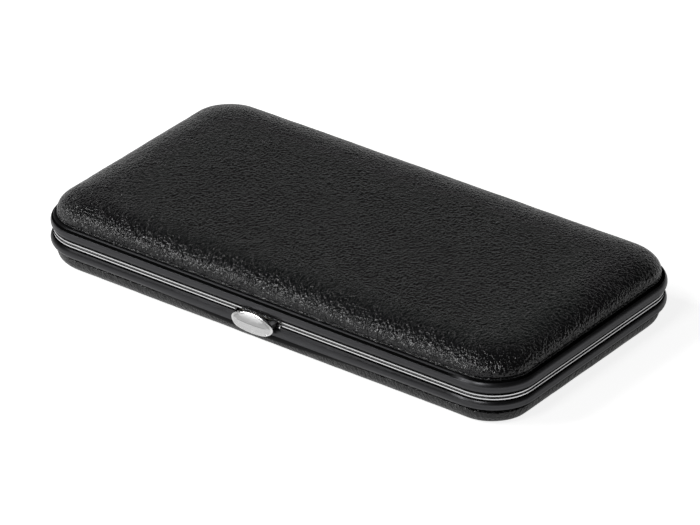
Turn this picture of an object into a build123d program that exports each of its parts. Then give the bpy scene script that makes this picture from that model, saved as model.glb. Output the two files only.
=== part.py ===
"""Pocket pedicure set: a hinged frame case with a push clasp, and the tools that it holds.

The origin is the centre of the flat rest face. +X runs along the case to the right, the push
button faces -Y, the hinge lies at +Y and +Z points up. Sizes are in millimetres. A height in
a half of the case is written as a distance from the parting plane, where the two lips meet.
"""

import os
from collections import namedtuple
from math import cos, radians, sin

from build123d import *

# Case outline at the lips
CASE_LENGTH = 150.0
CASE_WIDTH = 81.0
CORNER_RADIUS = 12.3
PARTING_HEIGHT = 9.4

# Lips and rails
LIP_GAP = 0.34
LIP_THICKNESS = 0.45
RAIL_WALL = 0.45
RAIL_CROWN = 0.75
RAIL_NEAR_SET = 0.35
RAIL_FAR_SET = 0.25
SWELL_DROP = 1.7
SWELL_HALF_LENGTH = 45.0

# Layers of a half, from the cover inwards: thickness at the side and at the crown
LAYER_GAP = 0.05
COVER_INSET = 0.85
COVER_WALL = 0.8
PADDING_SIDE = 0.6
PADDING_CROWN = 1.1
SHELL_WALL = 0.7
LINING_WALL = 0.4
DOME_STEPS = 4

# Hinge
HINGE_SETBACK = 1.75
HINGE_SPACING = 88.0
KNUCKLE_RADIUS = 1.25
KNUCKLE_LENGTH = 8.0
KNUCKLE_GAP = 0.25
PIN_RADIUS = 0.6
PIN_CLEARANCE = 0.1
PIN_HEAD_RADIUS = 0.95
PIN_HEAD_LENGTH = 0.5
LEAF_REACH = 3.1

# Push button and its slide
CLASP_X = -2.1
CAP_LENGTH = 13.2
CAP_HEIGHT = 5.7
CAP_DROP = 1.5
CAP_RIM = 0.4
CAP_THICKNESS = 1.25
CAP_RIDGE = 0.55
TENON_WIDTH = 3.0
TENON_HEIGHT = 0.5
NOTCH_HALF_WIDTH = 7.15
NOTCH_TOP = 0.4
NOTCH_DEPTH = 4.0
SLIDE_TOP = 0.85
SLIDE_THICKNESS = 1.15
SLIDE_BAR = 0.9
PRONG_INSIDE = 3.9
PRONG_OUTSIDE = 5.3
BARB_REACH = 1.6
BARB_LENGTH = 0.6
SLIDE_CLEARANCE = 0.35
BUTTON_TRAVEL = 0.9
BUTTON_STOP = 0.2
PRONG_STOP = 0.15
PRONG_CHAMFER = 0.3
BARB_CHAMFER = 0.4

# Strike plate and catch spring
STRIKE_WIDTH = 7.0
STRIKE_WALL = 0.7
STRIKE_RISE = 4.3
STRIKE_DROP = 3.6
WINDOW_WIDTH = 4.6
WINDOW_TOP = 1.6
WINDOW_HEIGHT = 1.3
STRIKE_RIVET_SPREAD = 2.1
STRIKE_RIVET_RISE = 3.0
CATCH_WALL = 0.4
CATCH_HALF_WIDTH = 5.8
CATCH_TOP = 0.7
CATCH_BACKSET = 0.6
CATCH_BEND = 1.35
CATCH_FOOT = 4.6
NOSE_WIDTH = 4.0
NOSE_CLEARANCE = 0.15
RIVET_RADIUS = 0.8
RIVET_HEAD_RADIUS = 1.4
RIVET_HEAD_HEIGHT = 0.5
RIVET_CLEARANCE = 0.08
CATCH_RIVET_SPREAD = 3.4

# Elastic loops
LOOP_BAND = 8.0
LOOP_WALL = 0.6
LOOP_ROUND = 1.6
LOOP_CLEARANCE = 0.35
LOOP_SHARE = 0.8
LID_LOOP_DROP = 0.35
TWEEZER_LOOP_SPARE = 3.0
TOOL_CLEARANCE = 0.35

# Halves: distances from the parting plane, and the flat field inside the crown's curve
LID_RAIL_EDGE = 4.5
LID_SHOULDER = 4.7
LID_CROWN = 10.8
LID_FLAT_INSET = 13.7
LID_FLAT_RADIUS = 4.5
BASE_RAIL_EDGE = 4.1
BASE_SHOULDER = 4.3
BASE_FLAT_INSET = 8.2
BASE_FLAT_RADIUS = 5.5
Half = namedtuple("Half", "up rail_edge shoulder crown flat_inset flat_radius")
LID = Half(1, LID_RAIL_EDGE, LID_SHOULDER, LID_CROWN, LID_FLAT_INSET, LID_FLAT_RADIUS)
BASE = Half(-1, BASE_RAIL_EDGE, BASE_SHOULDER, PARTING_HEIGHT, BASE_FLAT_INSET, BASE_FLAT_RADIUS)

# Toenail nipper
TOENAIL_X = 26.0
TOENAIL_Y = 0.1358 * CASE_WIDTH
TOENAIL_THICKNESS = 4.7
TOENAIL_HUB = 6.4
TOENAIL_HANDLE = 76.0
TOENAIL_JAW = 26.0
TOENAIL_TAIL_OFFSET = 7.5
TOENAIL_BOW = 9.5
TOENAIL_ROOT_WIDTH = 7.0
TOENAIL_TAIL_WIDTH = 4.6
TOENAIL_OPEN_ANGLE = 7.0
TOENAIL_HEAD_HEIGHT = 0.5
TOENAIL_LEAF_WIDTH = 3.0

# Cuticle nipper
CUTICLE_X = 24.0
CUTICLE_Y = 0.163 * CASE_WIDTH
CUTICLE_THICKNESS = 3.9
CUTICLE_HUB = 4.6
CUTICLE_HANDLE = 56.0
CUTICLE_JAW = 20.0
CUTICLE_TAIL_OFFSET = 6.6
CUTICLE_BOW = 8.0
CUTICLE_ROOT_WIDTH = 5.4
CUTICLE_TAIL_WIDTH = 3.8
CUTICLE_OPEN_ANGLE = 6.0
CUTICLE_HEAD_HEIGHT = 0.45
CUTICLE_LEAF_WIDTH = 2.5

# Both nippers: the handle runs to the tail and the jaw the other way
Nipper = namedtuple(
    "Nipper",
    "x y thickness hub handle jaw tail_offset bow root_width tail_width open_angle head_height leaf_width",
)
TOENAIL = Nipper(
    TOENAIL_X, TOENAIL_Y, TOENAIL_THICKNESS, TOENAIL_HUB, TOENAIL_HANDLE, TOENAIL_JAW, TOENAIL_TAIL_OFFSET,
    TOENAIL_BOW, TOENAIL_ROOT_WIDTH, TOENAIL_TAIL_WIDTH, TOENAIL_OPEN_ANGLE, TOENAIL_HEAD_HEIGHT,
    TOENAIL_LEAF_WIDTH,
)
CUTICLE = Nipper(
    CUTICLE_X, CUTICLE_Y, CUTICLE_THICKNESS, CUTICLE_HUB, CUTICLE_HANDLE, CUTICLE_JAW, CUTICLE_TAIL_OFFSET,
    CUTICLE_BOW, CUTICLE_ROOT_WIDTH, CUTICLE_TAIL_WIDTH, CUTICLE_OPEN_ANGLE, CUTICLE_HEAD_HEIGHT,
    CUTICLE_LEAF_WIDTH,
)
LAP_CLEARANCE = 0.06
JAW_CLEARANCE = 0.15
HUB_CLEARANCE = 0.45
PIVOT_SHARE = 0.36
PIVOT_CLEARANCE = 0.06
PIVOT_HEAD_SHARE = 0.62
RETURN_LEAF_WALL = 0.5
LEAF_SHARE = 0.6
GRIP_ROUND = 0.34
GRIP_STATIONS = (0.07, 0.3, 0.55, 0.8, 0.96)
GRIP_END = 0.6

# Tweezers, lying on their side
TWEEZER_X = -48.0
TWEEZER_Y = -0.1852 * CASE_WIDTH
TWEEZER_LENGTH = 92.0
TWEEZER_WALL = 1.0
TWEEZER_WIDTH = 5.4
TWEEZER_TAIL_WIDTH = 3.6
TWEEZER_TIP_WIDTH = 1.8
TWEEZER_BOW = 5.2
TWEEZER_TIP_OFFSET = 3.3
TWEEZER_WELD = 9.0
TWEEZER_WELD_HALF = 0.6
TWEEZER_WELD_CLEARANCE = 0.05
TWEEZER_BOW_SHARE = 0.55
TWEEZER_WIDE_SHARE = 0.3
TWEEZER_SLIM_SHARE = 0.72
TWEEZER_TIP_SHARE = 0.6

# Cuticle pusher
PUSHER_X = 4.0
PUSHER_Y = -0.3148 * CASE_WIDTH
PUSHER_LENGTH = 112.0
PUSHER_GRIP_LENGTH = 44.0
PUSHER_GRIP_RADIUS = 2.3
PUSHER_NECK_RADIUS = 1.2
PUSHER_BLADE_LENGTH = 15.0
PUSHER_BLADE_WIDTH = 5.4
PUSHER_BLADE_WALL = 1.0
PUSHER_BLADE_CORNER = 0.45
PUSHER_TAPER = 6.0
PUSHER_ROOT = 2.0
PUSHER_NECK_SHARE = 0.7
PUSHER_LOOP_SHARE = 0.333

# Nail file
FILE_X = -8.0
FILE_Y = -0.0926 * CASE_WIDTH
FILE_BLADE_LENGTH = 72.0
FILE_BLADE_WIDTH = 6.4
FILE_BLADE_WALL = 0.9
FILE_TANG = 14.0
FILE_HANDLE_LENGTH = 48.0
FILE_HANDLE_WIDTH = 8.0
FILE_HANDLE_WALL = 3.6
FILE_TANG_CLEARANCE = 0.05
FILE_POINT_LENGTH = 16.0
FILE_POINT_CURVE = 5.0
FILE_POINT_SHARE = 0.62
FILE_TANG_SHARE = 0.6
FILE_HANDLE_FLAT = 0.4
FILE_HANDLE_SHAPE = ((0, 1.0), (0.3, 0.8), (0.6, 0.8), (0.9, 1.0), (1.0, 0.7))

# Foot rasp
RASP_X = 0.0
RASP_Y = -0.259 * CASE_WIDTH
RASP_LENGTH = 128.0
RASP_HEAD_LENGTH = 66.0
RASP_HEAD_WIDTH = 18.0
RASP_GRIP_WIDTH = 11.0
RASP_WALL = 2.6
RASP_PAD_WALL = 0.5
RASP_PAD_MARGIN = 1.5
RASP_HOLE_RADIUS = 1.8
RASP_HOLE_INSET = 6.0
RASP_NECK = 14.0
RASP_LOOP_INSET = 26.0

# Worked out from the sizes above
LIP_FACE = LIP_GAP / 2
CAP_BACK = RAIL_CROWN + BUTTON_TRAVEL + BUTTON_STOP
RAIL_NEAR = LIP_FACE + LIP_THICKNESS
LAYER_EDGE = RAIL_NEAR + RAIL_WALL + LAYER_GAP
PADDING_INSET = COVER_INSET + COVER_WALL + LAYER_GAP
SHELL_INSET = PADDING_INSET + PADDING_SIDE + LAYER_GAP
LINING_INSET = SHELL_INSET + SHELL_WALL + LAYER_GAP
ROOM_INSET = LINING_INSET + LINING_WALL
PADDING_DROP = COVER_WALL + LAYER_GAP
SHELL_DROP = PADDING_DROP + PADDING_CROWN + LAYER_GAP
LINING_DROP = SHELL_DROP + SHELL_WALL + LAYER_GAP
ROOM_DROP = LINING_DROP + LINING_WALL
FLOOR = BASE.crown - ROOM_DROP
CEILING = LID.crown - ROOM_DROP
STRIKE_INSET = ROOM_INSET + LAYER_GAP
CATCH_INSET = STRIKE_INSET + STRIKE_WALL + CATCH_BACKSET
FRONT = -CASE_WIDTH / 2
BACK = CASE_WIDTH / 2


def level(half, distance):
    """Height above the rest face of a distance from the parting plane."""
    return PARTING_HEIGHT + half.up * distance


CLASP_PLANE = Plane(origin=(CLASP_X, FRONT, PARTING_HEIGHT), x_dir=(1, 0, 0), z_dir=(0, -1, 0))
HINGE_LINE = Plane(origin=(0, BACK, PARTING_HEIGHT), x_dir=(0, 1, 0), z_dir=(1, 0, 0))


def front_section(x):
    """Upright plane across the front wall: its x axis points out of the case, its y axis up."""
    return Plane(origin=(x, FRONT, PARTING_HEIGHT), x_dir=(0, -1, 0), z_dir=(-1, 0, 0))


def save(piece, name):
    """Label one finished piece and write it under its own name."""
    piece.label = name
    export_step(piece, f"parts/{name}.step")


def dome(half, inset, drop, edge):
    """Solid inside one layer boundary: a straight skirt and a crown that rises as a quarter ellipse.

    The crown's curve is smooth on the outside of the cover, and has flat courses on every layer within.
    """
    crown = half.crown - drop
    radius = CORNER_RADIUS - inset
    with BuildPart() as body:
        with BuildSketch(Plane.XY.offset(level(half, edge))):
            RectangleRounded(CASE_LENGTH - 2 * inset, CASE_WIDTH - 2 * inset, radius)
        extrude(amount=half.up * (half.shoulder - edge))
        for step in range(DOME_STEPS + 1):
            turn = radians(90 * step / DOME_STEPS)
            share = 1 - cos(turn)
            run = inset + (half.flat_inset - inset) * share
            rise = half.shoulder + (crown - half.shoulder) * sin(turn)
            corner = radius + (half.flat_radius - radius) * share
            with BuildSketch(Plane.XY.offset(level(half, rise))):
                RectangleRounded(CASE_LENGTH - 2 * run, CASE_WIDTH - 2 * run, corner)
        loft(ruled=inset > COVER_INSET)
    return body.part


def layer_faces(half, inset, drop, wall, crown_wall):
    """Outer and inner solids of one layer. The inner one runs past the edge so that it cuts clean."""
    outside = dome(half, inset, drop, LAYER_EDGE)
    inside = dome(half, inset + wall, drop + crown_wall, LAYER_EDGE - 1)
    return outside, inside


def rail_profile(plane, half, edge):
    """Rolled channel: a flange under the lip and a convex face that curls in at its far edge."""
    near = half.up * RAIL_NEAR
    flange = half.up * (RAIL_NEAR + RAIL_WALL)
    far = half.up * edge
    middle = (near + far) / 2
    with BuildSketch(plane) as profile:
        with BuildLine():
            Line((-ROOM_INSET, near), (-RAIL_NEAR_SET, near))
            ThreePointArc((-RAIL_NEAR_SET, near), (RAIL_CROWN, middle), (-RAIL_FAR_SET, far))
            Line((-RAIL_FAR_SET, far), (-RAIL_FAR_SET - RAIL_WALL, far))
            Polyline(
                (-RAIL_FAR_SET - RAIL_WALL, far),
                (RAIL_CROWN - RAIL_WALL, middle),
                (-RAIL_NEAR_SET - RAIL_WALL, flange),
            )
            Line((-RAIL_NEAR_SET - RAIL_WALL, flange), (-ROOM_INSET, flange))
            Line((-ROOM_INSET, flange), (-ROOM_INSET, near))
        make_face()
    return profile.sketch


def rim_half(start):
    """Left half of the line of the lips, from a point of the front side round to the middle of the back."""
    left = -CASE_LENGTH / 2
    with BuildLine(Plane.XY.offset(PARTING_HEIGHT)) as path:
        FilletPolyline((start, FRONT), (left, FRONT), (left, BACK), (0, BACK), radius=CORNER_RADIUS)
    return path.line


def knuckle(half, x):
    """One hinge knuckle and its leaf on the rail, from x along +X."""
    place = HINGE_LINE.offset(x)
    up = half.up
    wall = RAIL_CROWN - RAIL_WALL / 2
    with BuildSketch(place) as knuckle_face:
        with Locations((HINGE_SETBACK, 0)):
            Circle(KNUCKLE_RADIUS)
        with BuildLine():
            Polyline(
                (wall, up * LEAF_REACH / 2),
                (wall, up * LEAF_REACH),
                (wall + RAIL_WALL, up * LEAF_REACH),
                (HINGE_SETBACK + KNUCKLE_RADIUS * 0.8, up * KNUCKLE_RADIUS * 0.6),
                (HINGE_SETBACK, 0),
                (HINGE_SETBACK - KNUCKLE_RADIUS * 0.7, up * KNUCKLE_RADIUS * 0.7),
                close=True,
            )
        make_face()
    extrude(knuckle_face.sketch, amount=KNUCKLE_LENGTH)


def hinge_bore(radius):
    """Clear the pin line through every knuckle of one half."""
    with BuildSketch(HINGE_LINE.offset(-CASE_LENGTH / 2)) as bore:
        with Locations((HINGE_SETBACK, 0)):
            Circle(radius)
    extrude(bore.sketch, amount=CASE_LENGTH, mode=Mode.SUBTRACT)


def clasp_notch():
    """Cut the curved notch that the button's slide passes through."""
    with BuildSketch(CLASP_PLANE.offset(RAIL_CROWN + 1)) as notch:
        with BuildLine():
            Polyline(
                (NOTCH_HALF_WIDTH, -NOTCH_TOP), (NOTCH_HALF_WIDTH, 0), (-NOTCH_HALF_WIDTH, 0),
                (-NOTCH_HALF_WIDTH, -NOTCH_TOP),
            )
            ThreePointArc(
                (-NOTCH_HALF_WIDTH, -NOTCH_TOP), (0, -NOTCH_DEPTH), (NOTCH_HALF_WIDTH, -NOTCH_TOP)
            )
        make_face()
    extrude(notch.sketch, amount=-(RAIL_CROWN + ROOM_INSET + 2), mode=Mode.SUBTRACT)


def slide_slot():
    """Cut the slot in the edge of a base layer that the prongs pass through."""
    depth = SLIDE_TOP + SLIDE_THICKNESS + SLIDE_CLEARANCE
    with BuildSketch(CLASP_PLANE) as slot:
        with Locations((0, -depth / 2)):
            Rectangle(2 * (PRONG_OUTSIDE + SLIDE_CLEARANCE), depth)
    extrude(slot.sketch, amount=-(ROOM_INSET + 0.5), mode=Mode.SUBTRACT)


def strike_rivet_holes(radius):
    """Cut the two rivet holes through the front wall of the lid."""
    with BuildSketch(CLASP_PLANE.offset(-COVER_INSET - COVER_WALL)) as holes:
        with Locations((-STRIKE_RIVET_SPREAD, STRIKE_RIVET_RISE), (STRIKE_RIVET_SPREAD, STRIKE_RIVET_RISE)):
            Circle(radius)
    extrude(holes.sketch, amount=-(ROOM_INSET + 2), mode=Mode.SUBTRACT)


CATCH_RIVET_INSET = CATCH_INSET + CATCH_WALL + CATCH_BEND + CATCH_FOOT / 2
CATCH_RIVETS = (
    (CLASP_X - CATCH_RIVET_SPREAD, FRONT + CATCH_RIVET_INSET),
    (CLASP_X + CATCH_RIVET_SPREAD, FRONT + CATCH_RIVET_INSET),
)


def catch_rivet_holes(radius):
    """Cut the two rivet holes through the floor of the base."""
    with BuildSketch(Plane.XY.offset(PARTING_HEIGHT - BASE.crown + SHELL_DROP)) as holes:
        with Locations(*CATCH_RIVETS):
            Circle(radius)
    extrude(holes.sketch, amount=FLOOR, mode=Mode.SUBTRACT)


os.makedirs("parts", exist_ok=True)

# Base half: cover, padding, shell and lining
base_cover_out, base_cover_in = layer_faces(BASE, COVER_INSET, 0, COVER_WALL, COVER_WALL)
with BuildPart() as base_cover:
    add(base_cover_out)
    add(base_cover_in, mode=Mode.SUBTRACT)
    slide_slot()
save(base_cover.part, "base_cover")

base_pad_out, base_pad_in = layer_faces(BASE, PADDING_INSET, PADDING_DROP, PADDING_SIDE, PADDING_CROWN)
with BuildPart() as base_padding:
    add(base_pad_out)
    add(base_pad_in, mode=Mode.SUBTRACT)
    slide_slot()
save(base_padding.part, "base_padding")

base_shell_out, base_shell_in = layer_faces(BASE, SHELL_INSET, SHELL_DROP, SHELL_WALL, SHELL_WALL)
with BuildPart() as base_shell:
    add(base_shell_out)
    add(base_shell_in, mode=Mode.SUBTRACT)
    slide_slot()
    catch_rivet_holes(RIVET_RADIUS + RIVET_CLEARANCE)
save(base_shell.part, "base_shell")

base_lining_out, base_lining_in = layer_faces(BASE, LINING_INSET, LINING_DROP, LINING_WALL, LINING_WALL)
with BuildPart() as base_lining:
    add(base_lining_out)
    add(base_lining_in, mode=Mode.SUBTRACT)
    slide_slot()
    catch_rivet_holes(RIVET_RADIUS + RIVET_CLEARANCE)
save(base_lining.part, "base_lining")

# Lid half: cover, padding, shell and lining
lid_cover_out, lid_cover_in = layer_faces(LID, COVER_INSET, 0, COVER_WALL, COVER_WALL)
with BuildPart() as lid_cover:
    add(lid_cover_out)
    add(lid_cover_in, mode=Mode.SUBTRACT)
save(lid_cover.part, "lid_cover")

lid_pad_out, lid_pad_in = layer_faces(LID, PADDING_INSET, PADDING_DROP, PADDING_SIDE, PADDING_CROWN)
with BuildPart() as lid_padding:
    add(lid_pad_out)
    add(lid_pad_in, mode=Mode.SUBTRACT)
save(lid_padding.part, "lid_padding")

lid_shell_out, lid_shell_in = layer_faces(LID, SHELL_INSET, SHELL_DROP, SHELL_WALL, SHELL_WALL)
with BuildPart() as lid_shell:
    add(lid_shell_out)
    add(lid_shell_in, mode=Mode.SUBTRACT)
    strike_rivet_holes(RIVET_RADIUS + RIVET_CLEARANCE)
save(lid_shell.part, "lid_shell")

lid_lining_out, lid_lining_in = layer_faces(LID, LINING_INSET, LINING_DROP, LINING_WALL, LINING_WALL)
with BuildPart() as lid_lining:
    add(lid_lining_out)
    add(lid_lining_in, mode=Mode.SUBTRACT)
    strike_rivet_holes(RIVET_RADIUS + RIVET_CLEARANCE)
save(lid_lining.part, "lid_lining")

# Rails: the base rail swells downwards round the clasp
HINGE_HALF = 1.5 * KNUCKLE_LENGTH + KNUCKLE_GAP
HINGE_CENTRES = (-HINGE_SPACING / 2, HINGE_SPACING / 2)

with BuildPart() as base_rail:
    plain_section = rail_profile(front_section(-SWELL_HALF_LENGTH), BASE, BASE.rail_edge)
    sweep(plain_section, path=rim_half(-SWELL_HALF_LENGTH))
    mirror(about=Plane.YZ)
    swell = ((-1, 0), (-0.5, 0.5), (0, 1), (0.5, 0.5), (1, 0))
    loft(
        [
            rail_profile(front_section(share * SWELL_HALF_LENGTH), BASE, BASE.rail_edge + drop * SWELL_DROP)
            for share, drop in swell
        ]
    )
    for centre in HINGE_CENTRES:
        knuckle(BASE, centre - HINGE_HALF)
        knuckle(BASE, centre + HINGE_HALF - KNUCKLE_LENGTH)
    hinge_bore(PIN_RADIUS + PIN_CLEARANCE)
    clasp_notch()
save(base_rail.part, "base_rail")

with BuildPart() as lid_rail:
    sweep(rail_profile(front_section(0), LID, LID.rail_edge), path=rim_half(0))
    mirror(about=Plane.YZ)
    for centre in HINGE_CENTRES:
        knuckle(LID, centre - KNUCKLE_LENGTH / 2)
    hinge_bore(PIN_RADIUS + PIN_CLEARANCE)
save(lid_rail.part, "lid_rail")

with BuildPart() as hinge_pins:
    for centre in HINGE_CENTRES:
        with BuildSketch(HINGE_LINE.offset(centre - HINGE_HALF)):
            with Locations((HINGE_SETBACK, 0)):
                Circle(PIN_RADIUS)
        extrude(amount=2 * HINGE_HALF)
        with BuildSketch(
            HINGE_LINE.offset(centre - HINGE_HALF - PIN_HEAD_LENGTH), HINGE_LINE.offset(centre + HINGE_HALF)
        ):
            with Locations((HINGE_SETBACK, 0)):
                Circle(PIN_HEAD_RADIUS)
        extrude(amount=PIN_HEAD_LENGTH)
save(hinge_pins.part, "hinge_pins")


def lip(half):
    """Polished strip that lies on the rail's flange, all round the rim."""
    with BuildSketch(Plane.XY.offset(level(half, LIP_FACE))) as strip:
        RectangleRounded(CASE_LENGTH, CASE_WIDTH, CORNER_RADIUS)
        RectangleRounded(
            CASE_LENGTH - 2 * ROOM_INSET,
            CASE_WIDTH - 2 * ROOM_INSET,
            CORNER_RADIUS - ROOM_INSET,
            mode=Mode.SUBTRACT,
        )
    extrude(strip.sketch, amount=half.up * LIP_THICKNESS)


with BuildPart() as base_lip:
    lip(BASE)
    clasp_notch()
save(base_lip.part, "base_lip")

with BuildPart() as lid_lip:
    lip(LID)
save(lid_lip.part, "lid_lip")

# Push button: an oval cap, ridged along its length and falling away to its ends
with BuildPart() as push_button:
    with BuildSketch(CLASP_PLANE.offset(CAP_BACK)):
        with Locations((0, -CAP_DROP)):
            Ellipse(CAP_LENGTH / 2, CAP_HEIGHT / 2)
    extrude(amount=CAP_THICKNESS)
    with BuildSketch(front_section(CLASP_X)):
        with BuildLine():
            low = -CAP_DROP - CAP_HEIGHT / 2
            high = -CAP_DROP + CAP_HEIGHT / 2
            ridge = -CAP_DROP + CAP_RIDGE
            crest = CAP_BACK + CAP_THICKNESS
            rim_front = CAP_BACK + CAP_RIM
            shoulder = (rim_front + crest) / 2
            Polyline((rim_front, low), (CAP_BACK, low), (CAP_BACK, high), (rim_front, high))
            ThreePointArc((rim_front, high), (shoulder + 0.12, (high + ridge) / 2), (crest, ridge))
            ThreePointArc((crest, ridge), (shoulder + 0.2, (low + ridge) / 2), (rim_front, low))
        make_face()
    extrude(amount=CAP_LENGTH / 2, both=True, mode=Mode.INTERSECT)
    with BuildSketch(Plane(origin=(CLASP_X, FRONT, PARTING_HEIGHT - CAP_DROP), x_dir=(1, 0, 0))):
        with BuildLine():
            side = CAP_LENGTH / 2
            Polyline((-side, -rim_front), (-side, -CAP_BACK), (side, -CAP_BACK), (side, -rim_front))
            ThreePointArc((side, -rim_front), (0, -crest), (-side, -rim_front))
        make_face()
    extrude(amount=CAP_HEIGHT / 2, both=True, mode=Mode.INTERSECT)
    with BuildSketch(CLASP_PLANE.offset(CAP_BACK - SLIDE_BAR)):
        with Locations((0, -SLIDE_TOP - SLIDE_THICKNESS / 2)):
            Rectangle(TENON_WIDTH, TENON_HEIGHT)
    extrude(amount=SLIDE_BAR)
save(push_button.part, "push_button")

# Slide: a bar behind the cap, two prongs that push the catch, and barbs that keep it in the wall
with BuildPart() as button_slide:
    slide_foot = PARTING_HEIGHT - SLIDE_TOP - SLIDE_THICKNESS
    slide_plane = Plane(origin=(CLASP_X, FRONT, slide_foot), x_dir=(1, 0, 0))
    prong_tip = CATCH_INSET - PRONG_STOP
    barb_start = ROOM_INSET + LAYER_GAP
    with BuildSketch(slide_plane):
        with Locations((0, -CAP_BACK + SLIDE_BAR / 2)):
            Rectangle(2 * PRONG_OUTSIDE, SLIDE_BAR)
        for side in (-1, 1):
            with BuildLine():
                Polyline(
                    (side * PRONG_INSIDE, SLIDE_BAR - CAP_BACK),
                    (side * PRONG_INSIDE, prong_tip),
                    (side * (PRONG_OUTSIDE - PRONG_CHAMFER), prong_tip),
                    (side * PRONG_OUTSIDE, barb_start + BARB_LENGTH),
                    (side * (PRONG_OUTSIDE + BARB_REACH - BARB_CHAMFER), barb_start + BARB_LENGTH),
                    (side * (PRONG_OUTSIDE + BARB_REACH), barb_start),
                    (side * PRONG_OUTSIDE, barb_start),
                    (side * PRONG_OUTSIDE, SLIDE_BAR - CAP_BACK),
                    close=True,
                )
            make_face()
    extrude(amount=SLIDE_THICKNESS)
    with BuildSketch(CLASP_PLANE.offset(CAP_BACK)):
        with Locations((0, -SLIDE_TOP - SLIDE_THICKNESS / 2)):
            Rectangle(TENON_WIDTH + 0.1, TENON_HEIGHT + 0.1)
    extrude(amount=-SLIDE_BAR - 0.1, mode=Mode.SUBTRACT)
save(button_slide.part, "button_slide")

# Strike plate on the lid and its rivets
with BuildPart() as strike_plate:
    with BuildSketch(CLASP_PLANE.offset(-STRIKE_INSET)) as strike_face:
        with Locations((0, (STRIKE_RISE - STRIKE_DROP) / 2)):
            Rectangle(STRIKE_WIDTH, STRIKE_RISE + STRIKE_DROP)
        fillet(strike_face.vertices(), radius=1.0)
        with Locations((0, -WINDOW_TOP - WINDOW_HEIGHT / 2)):
            Rectangle(WINDOW_WIDTH, WINDOW_HEIGHT, mode=Mode.SUBTRACT)
    extrude(amount=-STRIKE_WALL)
    strike_rivet_holes(RIVET_RADIUS + RIVET_CLEARANCE)
save(strike_plate.part, "strike_plate")

with BuildPart() as strike_rivets:
    for side in (-1, 1):
        spot = (side * STRIKE_RIVET_SPREAD, STRIKE_RIVET_RISE)
        with BuildSketch(CLASP_PLANE.offset(-SHELL_INSET)):
            with Locations(spot):
                Circle(RIVET_RADIUS)
        extrude(amount=-(STRIKE_INSET + STRIKE_WALL - SHELL_INSET))
        with BuildSketch(CLASP_PLANE.offset(-STRIKE_INSET - STRIKE_WALL)):
            with Locations(spot):
                Circle(RIVET_HEAD_RADIUS)
        extrude(amount=-RIVET_HEAD_HEIGHT)
save(strike_rivets.part, "strike_rivets")

# Catch spring: an upright leaf with a nose that enters the strike window, and a riveted foot
with BuildPart() as catch_spring:
    knee = FLOOR - CATCH_WALL / 2 - CATCH_BEND - CATCH_WALL
    with BuildSketch(front_section(CLASP_X)):
        with BuildLine():
            front_line = Line((-CATCH_INSET, -CATCH_TOP), (-CATCH_INSET, -knee))
            outer_bend = JernArc(front_line @ 1, (0, -1), CATCH_BEND + CATCH_WALL, -90)
            sole = Line(outer_bend @ 1, outer_bend @ 1 - Vector(CATCH_FOOT, 0))
            heel = Line(sole @ 1, sole @ 1 + Vector(0, CATCH_WALL))
            upper = Line(heel @ 1, heel @ 1 + Vector(CATCH_FOOT, 0))
            inner_bend = JernArc(upper @ 1, (1, 0), CATCH_BEND, 90)
            back_line = Line(inner_bend @ 1, (-CATCH_INSET - CATCH_WALL, -CATCH_TOP))
            Line(back_line @ 1, front_line @ 0)
        make_face()
    extrude(amount=CATCH_HALF_WIDTH, both=True)
    with BuildSketch(front_section(CLASP_X)):
        with BuildLine():
            nose_low = -WINDOW_TOP - WINDOW_HEIGHT + NOSE_CLEARANCE
            nose_tip = -STRIKE_INSET - NOSE_CLEARANCE
            Polyline(
                (-CATCH_INSET - CATCH_WALL / 2, nose_low),
                (nose_tip, nose_low),
                (nose_tip, nose_low + 0.35),
                (-CATCH_INSET, -WINDOW_TOP - NOSE_CLEARANCE),
                (-CATCH_INSET - CATCH_WALL / 2, -WINDOW_TOP - NOSE_CLEARANCE),
                close=True,
            )
        make_face()
    extrude(amount=NOSE_WIDTH / 2, both=True)
    with BuildSketch(Plane.XY.offset(PARTING_HEIGHT - FLOOR)):
        with Locations(*CATCH_RIVETS):
            Circle(RIVET_RADIUS + RIVET_CLEARANCE)
    extrude(amount=CATCH_BEND + CATCH_WALL, mode=Mode.SUBTRACT)
save(catch_spring.part, "catch_spring")

with BuildPart() as catch_rivets:
    foot_top = PARTING_HEIGHT - knee - CATCH_BEND
    rivet_foot = PARTING_HEIGHT - BASE.crown + SHELL_DROP
    with BuildSketch(Plane.XY.offset(rivet_foot)):
        with Locations(*CATCH_RIVETS):
            Circle(RIVET_RADIUS)
    extrude(amount=foot_top - rivet_foot)
    with BuildSketch(Plane.XY.offset(foot_top)):
        with Locations(*CATCH_RIVETS):
            Circle(RIVET_HEAD_RADIUS)
    extrude(amount=RIVET_HEAD_HEIGHT)
save(catch_rivets.part, "catch_rivets")


def grip_point(nipper, share):
    """Point of a handle's centre line, in the lever's own plane, at a share of its length."""
    rise = 4 * nipper.bow * share * (1 - share) + nipper.tail_offset * share * (2 * share - 1)
    return -nipper.handle * share, rise


def grip_section(nipper, place, share, fullness):
    """Rounded cross-section of a handle, square to its centre line."""
    ahead = grip_point(nipper, share + 0.01)
    here = grip_point(nipper, share)
    along = Vector(*ahead) - Vector(*here)
    width = nipper.root_width + (nipper.tail_width - nipper.root_width) * share
    origin = place.from_local_coords(Vector(*here))
    across = place.y_dir * along.X - place.x_dir * along.Y
    forward = place.x_dir * along.X + place.y_dir * along.Y
    height = nipper.thickness * fullness
    with BuildSketch(Plane(origin=origin, x_dir=across, z_dir=forward)) as section:
        RectangleRounded(width * fullness, height, min(width * fullness, height) * GRIP_ROUND)
    return section.sketch


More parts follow.
